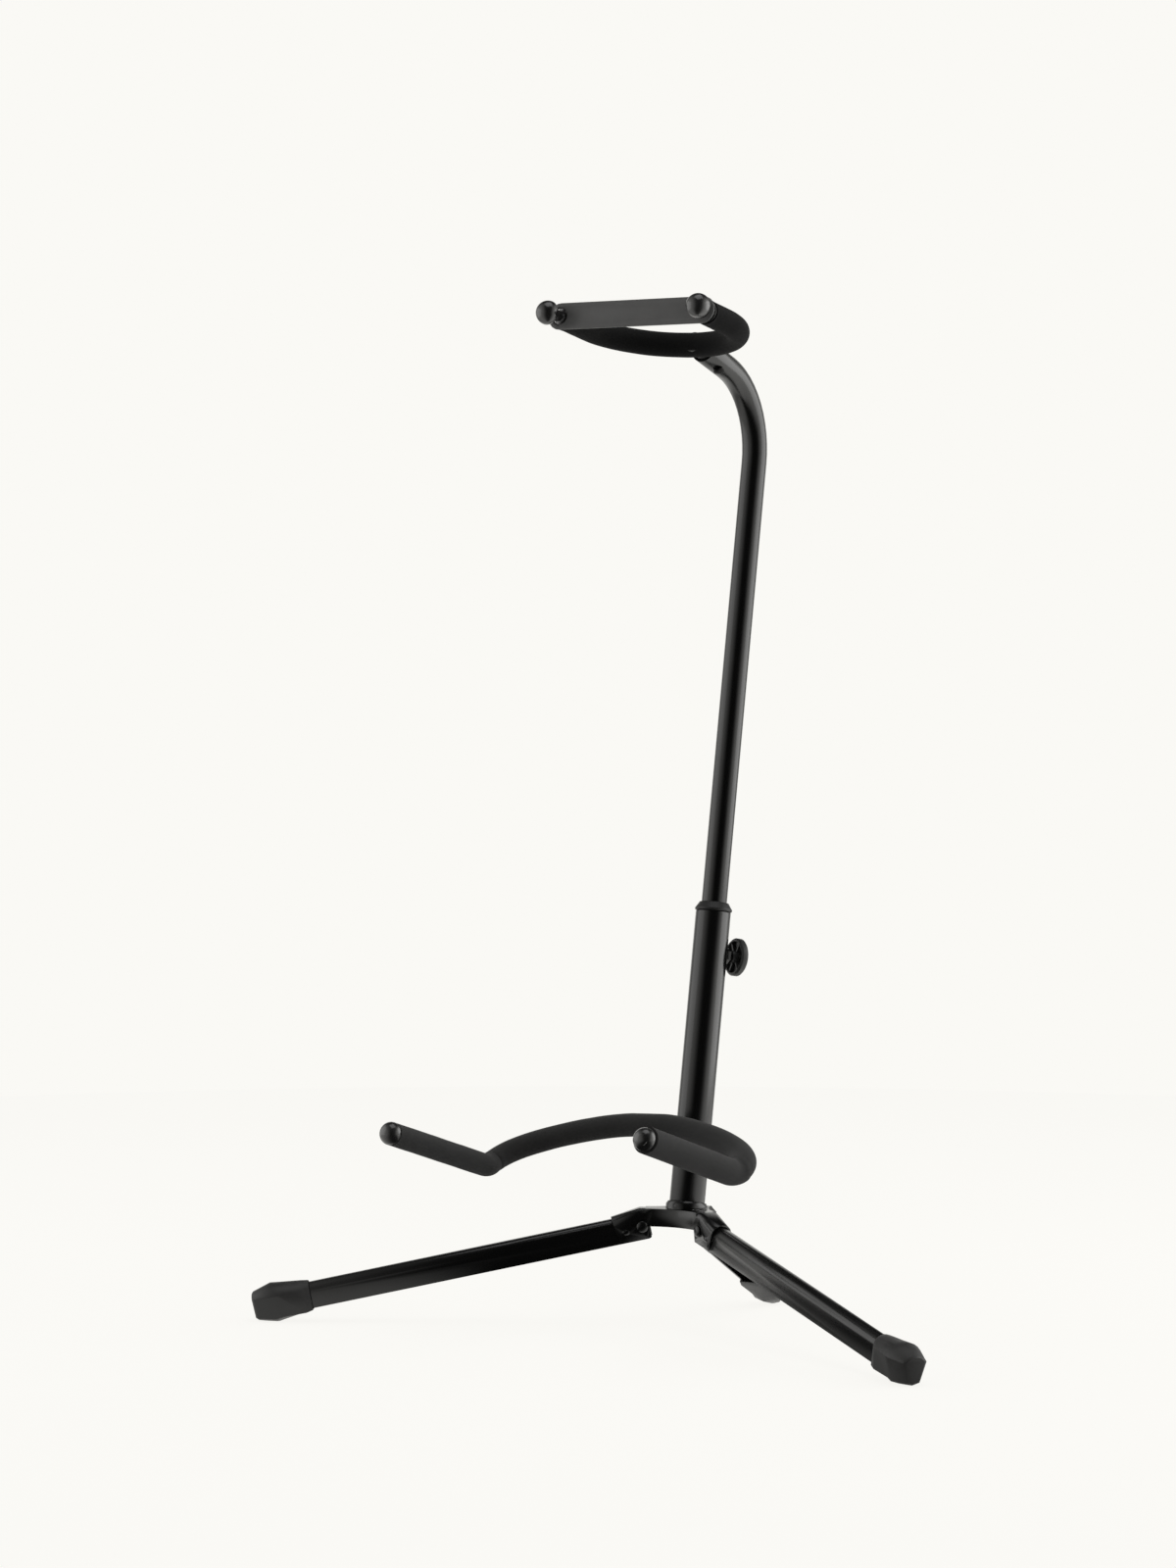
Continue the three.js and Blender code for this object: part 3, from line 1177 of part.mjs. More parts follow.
function makeMast() {
  const mast = new THREE.Group();
  mast.position.set(0, MAST_SETBACK, HUB_TOP);
  mast.rotation.x = -LEAN;
  mast.add(makeOuterTube(), makeTubePlug(), makeSeatRing(), makeBush(), makeGuidePlug(), makeHeightTube());
  mast.add(makeCradleLug(), makeClampNut(), makeClampPad(), makeClampScrew(), makeKnob());
  mast.add(makeNeck(), makeYoke());
  return mast;
}

function makeCradle() {
  const cradle = new THREE.Group();
  cradle.position.copy(cradlePlace);
  cradle.rotation.y = -THREE.MathUtils.degToRad(CRADLE_ROLL);
  cradle.add(makeCradleRod(), makeCradleFoam(), ...makeCradleCaps(), ...makeStopCollars());
  return cradle;
}

// The stand rests on z = 0, with the middle of its bounding box over the origin
function makeStand() {
  const stand = new THREE.Group();
  stand.add(makeHub(), ...makeHubBolt(), ...legPlan.map(makeLegGroup), makeMast(), makeCradle());
  stand.updateMatrixWorld(true);
  const box = new THREE.Box3().setFromObject(stand, true);
  const middle = box.getCenter(new THREE.Vector3());
  stand.position.set(-middle.x, -middle.y, -box.min.z);
  const part = new THREE.Group();
  part.add(stand);
  return part;
}

export default makeStand();
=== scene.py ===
"""Folding guitar stand in a pale studio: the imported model's solids, dressed for a close look.

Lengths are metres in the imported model's own frame: +Z up, origin on the floor under the middle.
"""

import sys
import json
import logging
import math
from contextlib import contextmanager
from dataclasses import dataclass
from enum import Enum
from typing import Callable, Iterator, Sequence

import bmesh
import bpy
from mathutils import Matrix, Quaternion, Vector
from mathutils.geometry import interpolate_bezier

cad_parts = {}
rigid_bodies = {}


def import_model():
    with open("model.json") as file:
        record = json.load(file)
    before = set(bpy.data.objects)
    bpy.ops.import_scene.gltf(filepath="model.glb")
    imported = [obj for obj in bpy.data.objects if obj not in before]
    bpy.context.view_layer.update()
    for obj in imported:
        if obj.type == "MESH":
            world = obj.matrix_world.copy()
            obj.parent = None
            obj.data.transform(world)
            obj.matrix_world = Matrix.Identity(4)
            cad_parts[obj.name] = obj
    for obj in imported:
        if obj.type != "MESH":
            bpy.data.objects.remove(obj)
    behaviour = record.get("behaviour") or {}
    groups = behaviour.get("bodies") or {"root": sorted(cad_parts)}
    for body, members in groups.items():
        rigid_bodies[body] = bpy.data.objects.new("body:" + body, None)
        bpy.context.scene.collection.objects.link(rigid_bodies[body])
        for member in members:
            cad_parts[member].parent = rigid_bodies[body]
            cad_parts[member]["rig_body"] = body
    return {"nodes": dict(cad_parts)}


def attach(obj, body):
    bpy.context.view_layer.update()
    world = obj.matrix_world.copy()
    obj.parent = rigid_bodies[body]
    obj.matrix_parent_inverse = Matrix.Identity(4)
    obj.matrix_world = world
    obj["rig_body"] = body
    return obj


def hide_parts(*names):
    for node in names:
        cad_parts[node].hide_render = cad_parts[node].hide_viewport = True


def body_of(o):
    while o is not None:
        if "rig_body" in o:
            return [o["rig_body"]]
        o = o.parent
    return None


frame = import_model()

log = logging.getLogger("guitar_stand")

MM = 0.001
MERGE_DISTANCE = 0.004 * MM
FLAT_ANGLE = math.radians(0.4)
SMOOTH_ANGLE = math.radians(32)
BEVEL_ANGLE = math.radians(38)
BEVEL_SEGMENTS = 2
UP = Vector((0, 0, 1))

CAMERA_PLACE = Vector((1.60693, -2.621185, 0.46513))
CAMERA_BACK = Vector((0.53489, -0.84449, 0.02722))
LEG_PLACES = ("rear", "front_left", "front_right")
YOKE_END = Vector((0, 0.057997, 0.688663))
CRADLE_MIDDLE = Vector((0, -0.00533, 0.144766))

# The Mix node's colour sockets by number, because their names are shared.
MIX_FACTOR, MIX_FIRST, MIX_SECOND, MIX_RESULT = 0, 6, 7, 2
# The band of agreement between the rounded and the true normal that counts as an edge.
EDGE_BAND = (0.86, 0.985)
EDGE_SAMPLES = 4

Colour = tuple[float, float, float, float]
Path = list[Vector]
Profile = list[tuple[float, float]]


class Slot(Enum):
    """The record's material slots."""

    PAINT = "paint"
    STEEL = "steel"
    FOAM = "foam"
    FOOT = "foot_rubber"
    STRAP = "strap_rubber"
    PLASTIC = "plastic"
    NYLON = "nylon"


class Side(Enum):
    """Which side of the stand a piece is on, seen from its front, with its sign along X."""

    LEFT = -1
    RIGHT = 1

    @property
    def word(self) -> str:
        """The side's name as it stands in the nodes' names."""
        return self.name.lower()


def grey(level: float, warmth: float = 0.0) -> Colour:
    """A near-neutral colour: warmth is the share by which red rises and blue falls."""
    return (level * (1 + warmth), level, level * (1 - warmth), 1.0)


# Shader arithmetic


@dataclass(frozen=True)
class Grain:
    """Soft noise: its features a metre, its detail and the band of its values that counts."""

    scale: float
    detail: float
    low: float = 0.0
    high: float = 1.0


class Shade:
    """A shader socket that adds Math nodes when it is used in an expression."""

    def __init__(self, recipe: "Recipe", socket: bpy.types.NodeSocket) -> None:
        """Keeps the socket and the recipe that it belongs to."""
        self.recipe = recipe
        self.socket = socket

    def _math(self, operation: str, first: "Shade | float", second: "Shade | float") -> "Shade":
        """One Math node on two values."""
        return self.recipe.node("ShaderNodeMath", {"operation": operation}, {0: first, 1: second})

    def __add__(self, other: "Shade | float") -> "Shade":
        """Sum."""
        return self._math("ADD", self, other)

    def __sub__(self, other: "Shade | float") -> "Shade":
        """Difference."""
        return self._math("SUBTRACT", self, other)

    def __rsub__(self, other: float) -> "Shade":
        """Difference, with the number first."""
        return self._math("SUBTRACT", other, self)

    def __mul__(self, other: "Shade | float") -> "Shade":
        """Product."""
        return self._math("MULTIPLY", self, other)

    __radd__ = __add__
    __rmul__ = __mul__


class Recipe:
    """A node tree under construction, for a material or for the world."""

    def __init__(self, owner: bpy.types.Material | bpy.types.World) -> None:
        """Empties the owner's node tree.

        Args:
            owner: The material or world that the tree belongs to.
        """
        owner.use_nodes = True
        self.owner = owner
        self.tree = owner.node_tree
        self.tree.nodes.clear()

    def node(self, kind: str, settings: dict | None = None, sockets: dict | None = None,
             output: int | str = 0) -> Shade:
        """Adds one node.

        Args:
            kind: The node's type.
            settings: Its own settings, set first.
            sockets: Values or links for its inputs, by name or number.
            output: The output that the result stands for.

        Returns:
            That output, ready for expressions.
        """
        made = self.tree.nodes.new(kind)
        for key, value in (settings or {}).items():
            setattr(made, key, value)
        for key, value in (sockets or {}).items():
            if isinstance(value, Shade):
                self.tree.links.new(value.socket, made.inputs[key])
            else:
                made.inputs[key].default_value = value
        return Shade(self, made.outputs[output])

    def place(self) -> Shade:
        """Object coordinates, which are metres in the model's frame."""
        return self.node("ShaderNodeTexCoord", output="Object")

    def stretched(self, scale: Sequence[float]) -> Shade:
        """Object coordinates with each axis scaled on its own."""
        return self.node("ShaderNodeMapping", {}, {"Vector": self.place(), "Scale": tuple(scale)})

    def noise(self, grain: Grain, at: Shade | None = None) -> Shade:
        """Soft noise from 0 to 1, at the object coordinates or at others."""
        sockets = {"Vector": at or self.place(), "Scale": grain.scale, "Detail": grain.detail}
        return self.node("ShaderNodeTexNoise", {}, sockets)

    def patches(self, grain: Grain) -> Shade:
        """Soft noise with its band spread over 0 to 1."""
        return self.spread(self.noise(grain), grain.low, grain.high)

    def pores(self, scale: float) -> Shade:
        """Distance from the middle of the nearest of many small cells."""
        return self.node("ShaderNodeTexVoronoi", {}, {"Vector": self.place(), "Scale": scale})

    def spread(self, value: Shade, low: float, high: float, start: float = 0.0,
               end: float = 1.0) -> Shade:
        """Maps low..high onto start..end with soft ends."""
        sockets = {"Value": value, "From Min": low, "From Max": high, "To Min": start,
                   "To Max": end}
        return self.node("ShaderNodeMapRange", {"interpolation_type": "SMOOTHSTEP"}, sockets)

    def mix(self, factor: Shade, first: Shade | Colour, second: Shade | Colour) -> Shade:
        """Mixes two colours."""
        sockets = {MIX_FACTOR: factor, MIX_FIRST: first, MIX_SECOND: second}
        return self.node("ShaderNodeMix", {"data_type": "RGBA"}, sockets, MIX_RESULT)

    def vector_math(self, operation: str, first: Shade, second: Shade | Vector | None = None,
                    output: str = "Value") -> Shade:
        """One Vector Math node on one or two vectors."""
        sockets = {0: first} if second is None else {0: first, 1: second}
        return self.node("ShaderNodeVectorMath", {"operation": operation}, sockets, output)

    def edges(self, width: float) -> Shade:
        """A mask for edges.

        Args:
            width: How far from an edge the mask reaches.

        Returns:
            1 where the normal that is rounded over the width leaves the true one, else 0.
        """
        rounded = self.node("ShaderNodeBevel", {"samples": EDGE_SAMPLES}, {"Radius": width})
        true = self.node("ShaderNodeNewGeometry", output="True Normal")
        agreement = self.vector_math("DOT_PRODUCT", rounded, true)
        return self.spread(agreement, *EDGE_BAND, 1.0, 0.0)

    def relief(self, height: Shade, distance: float) -> Shade:
        """A normal raised by a height that runs from 0 to 1 over the distance."""
        sockets = {"Height": height, "Distance": distance, "Strength": 1.0}
        return self.node("ShaderNodeBump", {}, sockets)

    def surface(self, **sockets: "Shade | float | Colour") -> None:
        """Ends the material in one Principled shader.

        Args:
            **sockets: The shader's inputs: an underscore in a name stands for a space.
        """
        named = {key.replace("_", " "): value for key, value in sockets.items()}
        shader = self.node("ShaderNodeBsdfPrincipled", {}, named)
        self.node_output("ShaderNodeOutputMaterial", shader)

    def node_output(self, kind: str, shader: Shade) -> None:
        """Ends the tree with an output node."""
        made = self.tree.nodes.new(kind)
        self.tree.links.new(shader.socket, made.inputs["Surface"])


# Finishes


@dataclass(frozen=True)
class Enamel:
    """Black enamel baked over steel, with orange peel, fine dust and rubbed edges."""

    slot: Slot = Slot.PAINT
    colour: Colour = grey(0.003)
    dust: Colour = grey(0.012, 0.04)
    worn: Colour = grey(0.03)
    roughness: float = 0.24
    coat: float = 0.22
    coat_roughness: float = 0.18
    peel_depth: float = 0.012 * MM
    edge: float = 0.5 * MM
    clouds: Grain = Grain(38, 5)
    specks: Grain = Grain(1900, 2, 0.66, 0.76)
    smears: Grain = Grain(9, 6, 0.42, 0.75)
    rubbing: Grain = Grain(160, 4, 0.4, 0.62)
    peel: Grain = Grain(620, 2)

    def make(self) -> bpy.types.Material:
        """Builds the enamel.

        Returns:
            The material.
        """
        recipe = Recipe(bpy.data.materials.new("black_enamel"))
        clouds = recipe.noise(self.clouds)
        specks = recipe.patches(self.specks)
        smears = recipe.patches(self.smears)
        rubbed = recipe.edges(self.edge) * recipe.patches(self.rubbing)
        dusty = recipe.mix(specks * 0.35 + smears * 0.18, self.colour, self.dust)
        rough = clouds * 0.07 + smears * 0.07 + rubbed * 0.1 + (self.roughness - 0.05)
        recipe.surface(
            Base_Color=recipe.mix(rubbed * 0.6, dusty, self.worn),
            Roughness=rough,
            Normal=recipe.relief(recipe.noise(self.peel), self.peel_depth),
            Coat_Roughness=self.coat_roughness,
            Coat_Weight=smears * -0.1 + self.coat,
        )
        return recipe.owner


@dataclass(frozen=True)
class Foam:
    """Closed-cell foam: matt charcoal with fine pores, a dry skin and painted shade in the pores'
    pits.
    """

    name: str = "charcoal_foam"
    slot: Slot = Slot.FOAM
    # pore is painted shade for the pits of the pores.
    pore: Colour = grey(0.012)
    skin: Colour = grey(0.024, 0.01)
    bloom: Colour = grey(0.036, 0.015)
    roughness: float = 0.84
    shine: float = 0.32
    sheen: float = 0.12
    sheen_roughness: float = 0.6
    cell: float = 1500
    cell_band: tuple[float, float] = (0.12, 0.62)
    depth: float = 0.16 * MM
    coarse: Grain = Grain(420, 4)
    patches: Grain = Grain(46, 5, 0.38, 0.72)

    def make(self) -> bpy.types.Material:
        """Builds the foam.

        Returns:
            The material.
        """
        recipe = Recipe(bpy.data.materials.new(self.name))
        pores = recipe.spread(recipe.pores(self.cell), *self.cell_band)
        coarse = recipe.noise(self.coarse)
        patches = recipe.patches(self.patches)
        skin = recipe.mix(patches * 0.55, self.skin, self.bloom)
        recipe.surface(
            # The colour darkens towards the middle of each pore: painted shade in the pits, mixed
            # with soft noise.
            Base_Color=recipe.mix(pores * 0.75 + coarse * 0.25, self.pore, skin),
            Roughness=pores * 0.08 + patches * 0.05 + self.roughness,
            Normal=recipe.relief(pores * 0.55 + coarse * 0.6 + patches * 0.5, self.depth),
            Specular_IOR_Level=self.shine,
            Sheen_Weight=self.sheen,
            Sheen_Roughness=self.sheen_roughness,
        )
        return recipe.owner


@dataclass(frozen=True)
class Rubber:
    """Moulded rubber with a soft bloom, fine grain and scuffed edges."""

    name: str
    slot: Slot
    colour: Colour
    bloom: Colour
    roughness: float
    shine: float = 0.45
    depth: float = 0.03 * MM
    edge: float = 0.6 * MM
    clouds: Grain = Grain(70, 5, 0.35, 0.7)
    fine: Grain = Grain(2600, 3)
    flow: Grain = Grain(240, 3)
    flow_scale: tuple[float, float, float] = (0.3, 0.3, 1.6)
    scuffs: Grain = Grain(300, 4)

    def make(self) -> bpy.types.Material:
        """Builds the rubber.

        Returns:
            The material.
        """
        recipe = Recipe(bpy.data.materials.new(self.name))
        clouds = recipe.patches(self.clouds)
        fine = recipe.noise(self.fine)
        flow = recipe.noise(self.flow, recipe.stretched(self.flow_scale))
        scuffs = recipe.edges(self.edge) * recipe.noise(self.scuffs)
        tone = recipe.mix(clouds * 0.6 + fine * 0.15, self.colour, self.bloom)
        recipe.surface(
            Base_Color=recipe.mix(scuffs * 0.5, tone, self.bloom),
            Roughness=clouds * 0.1 + fine * 0.08 + (self.roughness - 0.09),
            Normal=recipe.relief(fine * 0.6 + flow * 0.5, self.depth),
            Specular_IOR_Level=self.shine,
        )
        return recipe.owner


@dataclass(frozen=True)
class Plastic:
    """Black moulded plastic with a fine eroded texture and polished edges."""

    name: str = "black_plastic"
    slot: Slot = Slot.PLASTIC
    colour: Colour = grey(0.011)
    haze: Colour = grey(0.022)
    roughness: float = 0.34
    depth: float = 0.02 * MM
    edge: float = 0.4 * MM
    gloss: float = 0.5
    coat: float = 0.0
    coat_roughness: float = 0.12
    fine: Grain = Grain(3200, 2)
    clouds: Grain = Grain(90, 4, 0.4, 0.7)

    def make(self) -> bpy.types.Material:
        """Builds the plastic.

        Returns:
            The material.
        """
        recipe = Recipe(bpy.data.materials.new(self.name))
        fine = recipe.noise(self.fine)
        clouds = recipe.patches(self.clouds)
        handled = recipe.edges(self.edge)
        rough = clouds * 0.08 + fine * 0.08 - handled * 0.08 + (self.roughness - 0.06)
        recipe.surface(
            Base_Color=recipe.mix(clouds * 0.5 + fine * 0.2, self.colour, self.haze),
            Roughness=rough,
            Normal=recipe.relief(fine * 0.7 + clouds * 0.6, self.depth),
            Specular_IOR_Level=self.gloss,
            Coat_Weight=self.coat,
            Coat_Roughness=self.coat_roughness,
        )
        return recipe.owner


@dataclass(frozen=True)
class Steel:
    """Plain dark steel with drawing lines, a light tarnish and bright edges."""

    name: str = "dark_steel"
    slot: Slot = Slot.STEEL
    colour: Colour = grey(0.17)
    tarnish: Colour = grey(0.07, 0.06)
    bright: Colour = grey(0.42)
    roughness: float = 0.24
    depth: float = 0.015 * MM
    edge: float = 0.3 * MM
    lines: Grain = Grain(900, 3)
    line_scale: tuple[float, float, float] = (1.0, 1.0, 0.12)
    patches: Grain = Grain(120, 5, 0.4, 0.68)

    def make(self) -> bpy.types.Material:
        """Builds the steel.

        Returns:
            The material.
        """
        recipe = Recipe(bpy.data.materials.new(self.name))
        lines = recipe.noise(self.lines, recipe.stretched(self.line_scale))
        patches = recipe.patches(self.patches)
        edges = recipe.edges(self.edge)
        tone = recipe.mix(patches * 0.8, self.colour, self.tarnish)
        recipe.surface(
            Base_Color=recipe.mix(edges * 0.7, tone, self.bright),
            Metallic=1.0 - patches * 0.25,
            Roughness=lines * 0.14 + patches * 0.16 + self.roughness,
            Normal=recipe.relief(lines, self.depth),
        )
        return recipe.owner


@dataclass(frozen=True)
class Nylon:
    """Natural nylon: cream, slightly greasy, with flow marks."""

    slot: Slot = Slot.NYLON
    colour: Colour = grey(0.6, 0.06)
    shade: Colour = grey(0.46, 0.1)
    roughness: float = 0.34
    depth: float = 0.02 * MM
    flow: Grain = Grain(210, 4, 0.35, 0.7)
    flow_scale: tuple[float, float, float] = (1.0, 1.0, 0.3)
    fine: Grain = Grain(2400, 2)

    def make(self) -> bpy.types.Material:
        """Builds the nylon.

        Returns:
            The material.
        """
        recipe = Recipe(bpy.data.materials.new("natural_nylon"))
        flow = recipe.noise(self.flow, recipe.stretched(self.flow_scale))
        fine = recipe.noise(self.fine)
        marks = recipe.spread(flow, self.flow.low, self.flow.high)
        recipe.surface(
            Base_Color=recipe.mix(marks, self.colour, self.shade),
            Roughness=flow * 0.15 + fine * 0.05 + self.roughness,
            Normal=recipe.relief(flow * 0.6 + fine * 0.3, self.depth),
        )
        return recipe.owner


Finish = Enamel | Foam | Rubber | Plastic | Steel | Nylon

RIVET_ENAMEL = Enamel(roughness=0.3)
FOOT_RUBBER = Rubber("foot_rubber", Slot.FOOT, grey(0.03), grey(0.05, 0.01), 0.52)
STRAP_RUBBER = Rubber("strap_rubber", Slot.STRAP, grey(0.1), grey(0.13, 0.01), 0.46,
                      depth=0.02 * MM)
BLACK_STEEL = Steel("black_steel", colour=grey(0.012), tarnish=grey(0.02, 0.06),
                    bright=grey(0.05))
# The yoke's foam is the cradle's foam painted darker all over, as painted shade, with less shine
# and sheen.
SHADED_FOAM = Foam("dark_foam", pore=grey(0.003), skin=grey(0.006, 0.0055),
                 bloom=grey(0.01, 0.009), shine=0.14, sheen=0.04)
GLOSS_PLASTIC = Plastic("glossy_black_plastic", colour=grey(0.01), haze=grey(0.018),
                        roughness=0.28, depth=0.01 * MM, gloss=0.7, coat=0.5)
KNOB_PLASTIC = Plastic("knob_plastic", colour=grey(0.03), haze=grey(0.05), roughness=0.42)
BUSH_PLASTIC = Plastic("bush_plastic", colour=grey(0.016), haze=grey(0.028), roughness=0.42,
                       gloss=0.4)


class Paintbox:
    """Makes each finish once and hands out its material."""

    def __init__(self) -> None:
        """Starts empty."""
        self._made: dict[Finish, bpy.types.Material] = {}

    def material(self, finish: Finish) -> bpy.types.Material:
        """Looks a finish's material up, and makes it at its first use.

        Args:
            finish: The finish that is wanted.

        Returns:
            Its material.
        """
        if finish not in self._made:
            self._made[finish] = finish.make()
        return self._made[finish]


# Modelling


def deselect() -> None:
    """Leaves no object selected."""
    bpy.ops.object.select_all(action="DESELECT")


def work_on(piece: bpy.types.Object) -> None:
    """Selects one object alone and makes it active.

    Args:
        piece: The object to work on.
    """
    deselect()
    piece.select_set(True)
    bpy.context.view_layer.objects.active = piece


@contextmanager
def editing(piece: bpy.types.Object) -> Iterator[None]:
    """Edit mode on one object, by vertices, with nothing in its mesh selected.

    Args:
        piece: The object to edit.
    """
    work_on(piece)
    bpy.ops.object.mode_set(mode="EDIT")
    bpy.ops.mesh.select_mode(type="VERT")
    bpy.ops.mesh.select_all(action="DESELECT")
    try:
        yield
    finally:
        bpy.ops.object.mode_set(mode="OBJECT")


def smooth(piece: bpy.types.Object, angle: float) -> None:
    """Shades an object smoothly but for its edges sharper than the angle."""
    work_on(piece)
    bpy.ops.object.shade_smooth_by_angle(angle=angle)


def settle(piece: bpy.types.Object) -> None:
    """Moves the object's place into its mesh."""
    work_on(piece)
    bpy.ops.object.transform_apply(location=True, rotation=True, scale=True)


def apply_modifier(piece: bpy.types.Object, kind: str, **settings: object) -> None:
    """Adds one modifier and applies it.

    Args:
        piece: The object to change.
        kind: The modifier's type.
        **settings: Values of the modifier's own settings.
    """
    work_on(piece)
    modifier = piece.modifiers.new(kind.lower(), kind)
    for key, value in settings.items():
        setattr(modifier, key, value)
    bpy.ops.object.modifier_apply(modifier=modifier.name)


def refined_copy(node: str, name: str, width: float) -> bpy.types.Object:
    """A solid's copy, merged, with its edges rounded and its curves shaded smoothly.

    Args:
        node: The solid's node.
        name: The new object's name.
        width: The rounding's width.

    Returns:
        The new object, in the solid's own place.
    """
    piece = bpy.data.objects.new(name, frame["nodes"][node].data.copy())
    bpy.context.scene.collection.objects.link(piece)
    piece.data.materials.clear()
    with editing(piece):
        bpy.ops.mesh.select_all(action="SELECT")
        bpy.ops.mesh.remove_doubles(threshold=MERGE_DISTANCE)
        bpy.ops.mesh.dissolve_limited(angle_limit=FLAT_ANGLE)
    apply_modifier(piece, "BEVEL", width=width, segments=BEVEL_SEGMENTS, limit_method="ANGLE",
                   angle_limit=BEVEL_ANGLE, miter_outer="MITER_ARC")
    smooth(piece, SMOOTH_ANGLE)
    return piece


def lathe(name: str, profile: Profile, base: Vector, axis: Vector,
          steps: int) -> bpy.types.Object:
    """Spins a profile into a closed body of revolution.

    Args:
        name: The new object's name.
        profile: Radius and run along the axis of each corner, from the axis back to the axis.
        base: Where the run is zero.
        axis: The direction of the run.
        steps: Number of faces round the axis.

    Returns:
        The new object.
    """
    deselect()
    bpy.ops.mesh.primitive_plane_add(size=MM)
    piece = bpy.context.object
    piece.name = name
    with editing(piece):
        bpy.ops.mesh.select_all(action="SELECT")
        bpy.ops.mesh.merge(type="CENTER")
        here = Vector((0, 0, 0))
        for index, (radius, run) in enumerate(profile):
            there = Vector((radius, 0, run))
            move = {"value": tuple(there - here)}
            if index == 0:
                bpy.ops.transform.translate(**move)
            else:
                bpy.ops.mesh.extrude_vertices_move(TRANSFORM_OT_translate=move)
            here = there
        bpy.ops.mesh.select_all(action="SELECT")
        bpy.ops.mesh.spin(steps=steps, angle=math.tau, center=(0, 0, 0), axis=(0, 0, 1))
        bpy.ops.mesh.select_all(action="SELECT")
        bpy.ops.mesh.remove_doubles(threshold=MERGE_DISTANCE)
        bpy.ops.mesh.normals_make_consistent(inside=False)
    turn = axis.to_track_quat("Z", "Y").to_matrix().to_4x4()
    piece.matrix_world = Matrix.Translation(base) @ turn
    settle(piece)
    return piece


def arc_points(middle: tuple[float, float], radii: tuple[float, float], start: float,
               end: float, steps: int) -> Profile:
    """Points on an ellipse, from one angle to another in degrees.

    Args:
        middle: The ellipse's middle.
        radii: Its two half axes.
        start: The first point's angle.
        end: The last point's angle.
        steps: The number of steps between them.

    Returns:
        The points, both ends included.
    """
    angles = [math.radians(start + (end - start) * i / steps) for i in range(steps + 1)]
    return [(middle[0] + radii[0] * math.cos(angle), middle[1] + radii[1] * math.sin(angle))
            for angle in angles]


def fillet(before: Vector, corner: Vector, after: Vector, radius: float, steps: int) -> Path:
    """The arc that rounds a corner between two straight runs.

    Args:
        before: A point of the first run.
        corner: Where the runs meet.
        after: A point of the second run.
        radius: The arc's radius.
        steps: The number of steps along it.

    Returns:
        The arc's points, both ends included.
    """
    back = (before - corner).normalized()
    ahead = (after - corner).normalized()
    half = back.angle(ahead) / 2
    start = corner + back * (radius / math.tan(half))
    centre = corner + (back + ahead).normalized() * (radius / math.sin(half))
    turn = math.pi - 2 * half
    spoke = start - centre
    axis = spoke.cross(corner + ahead * (radius / math.tan(half)) - centre)
    return [centre + Quaternion(axis, turn * i / steps) @ spoke for i in range(steps + 1)]


def spaced(path: Path, step: float) -> Path:
    """Cuts a path's long runs to steps.

    Args:
        path: The path's corners.
        step: About how long each step may be.

    Returns:
        The same path with more points.
    """
    fine = [path[0]]
    for start, end in zip(path, path[1:]):
        cuts = max(1, round((end - start).length / step))
        fine += [start.lerp(end, (i + 1) / cuts) for i in range(cuts)]
    return fine


def even(_: Vector) -> float:
    """The girth of a sleeve that is the same all along."""
    return 1.0


@dataclass
class Sleeve:
    """A foam sleeve drawn over a bent rod."""

    name: str
    path: Path
    diameter: float
    girth: Callable[[Vector], float] = even
    end_rounding: float = 1.3 * MM
    end_segments: int = 4
    swell: float = 0.35 * MM
    swell_size: float = 22 * MM
    step: float = 2.2 * MM
    ring_resolution: int = 22
    ring_corners: int = 8
    smooth_angle: float = math.radians(50)

    def model(self) -> bpy.types.Object:
        """Draws the sleeve along its path, rounds its ends and lets it swell unevenly.

        Returns:
            The new object.
        """
        deselect()
        bpy.ops.curve.primitive_nurbs_path_add()
        piece = bpy.context.object
        piece.name = self.name
        drawn = piece.data
        drawn.splines.clear()
        points = spaced(self.path, self.step)
        spline = drawn.splines.new("POLY")
        spline.points.add(len(points) - 1)
        for point, place in zip(spline.points, points):
            point.co = (*place, 1.0)
            point.radius = self.girth(place)
        drawn.bevel_depth = self.diameter / 2
        drawn.bevel_resolution = self.ring_resolution
        drawn.use_fill_caps = True
        bpy.ops.object.convert(target="MESH")
        piece = bpy.context.object
        self._round_ends(piece)
        texture = bpy.data.textures.new(f"{self.name}_swell", "CLOUDS")
        texture.noise_scale = self.swell_size
        apply_modifier(piece, "DISPLACE", texture=texture, strength=self.swell, mid_level=0.5)
        smooth(piece, self.smooth_angle)
        return piece

    def _round_ends(self, piece: bpy.types.Object) -> None:
        """Rounds the rim of each end face.

        Args:
            piece: The sleeve's object, as it was drawn.
        """
        with editing(piece):
            bpy.ops.mesh.select_all(action="SELECT")
            bpy.ops.mesh.remove_doubles(threshold=MERGE_DISTANCE)
            bpy.ops.mesh.normals_make_consistent(inside=False)
            bpy.ops.mesh.select_all(action="DESELECT")
            bpy.ops.mesh.select_mode(type="EDGE")
            shape = bmesh.from_edit_mesh(piece.data)
            for face in shape.faces:
                if len(face.verts) > self.ring_corners:
                    for edge in face.edges:
                        edge.select = True
            bmesh.update_edit_mesh(piece.data)
            bpy.ops.mesh.bevel(offset=self.end_rounding, segments=self.end_segments,
                               affect="EDGES")


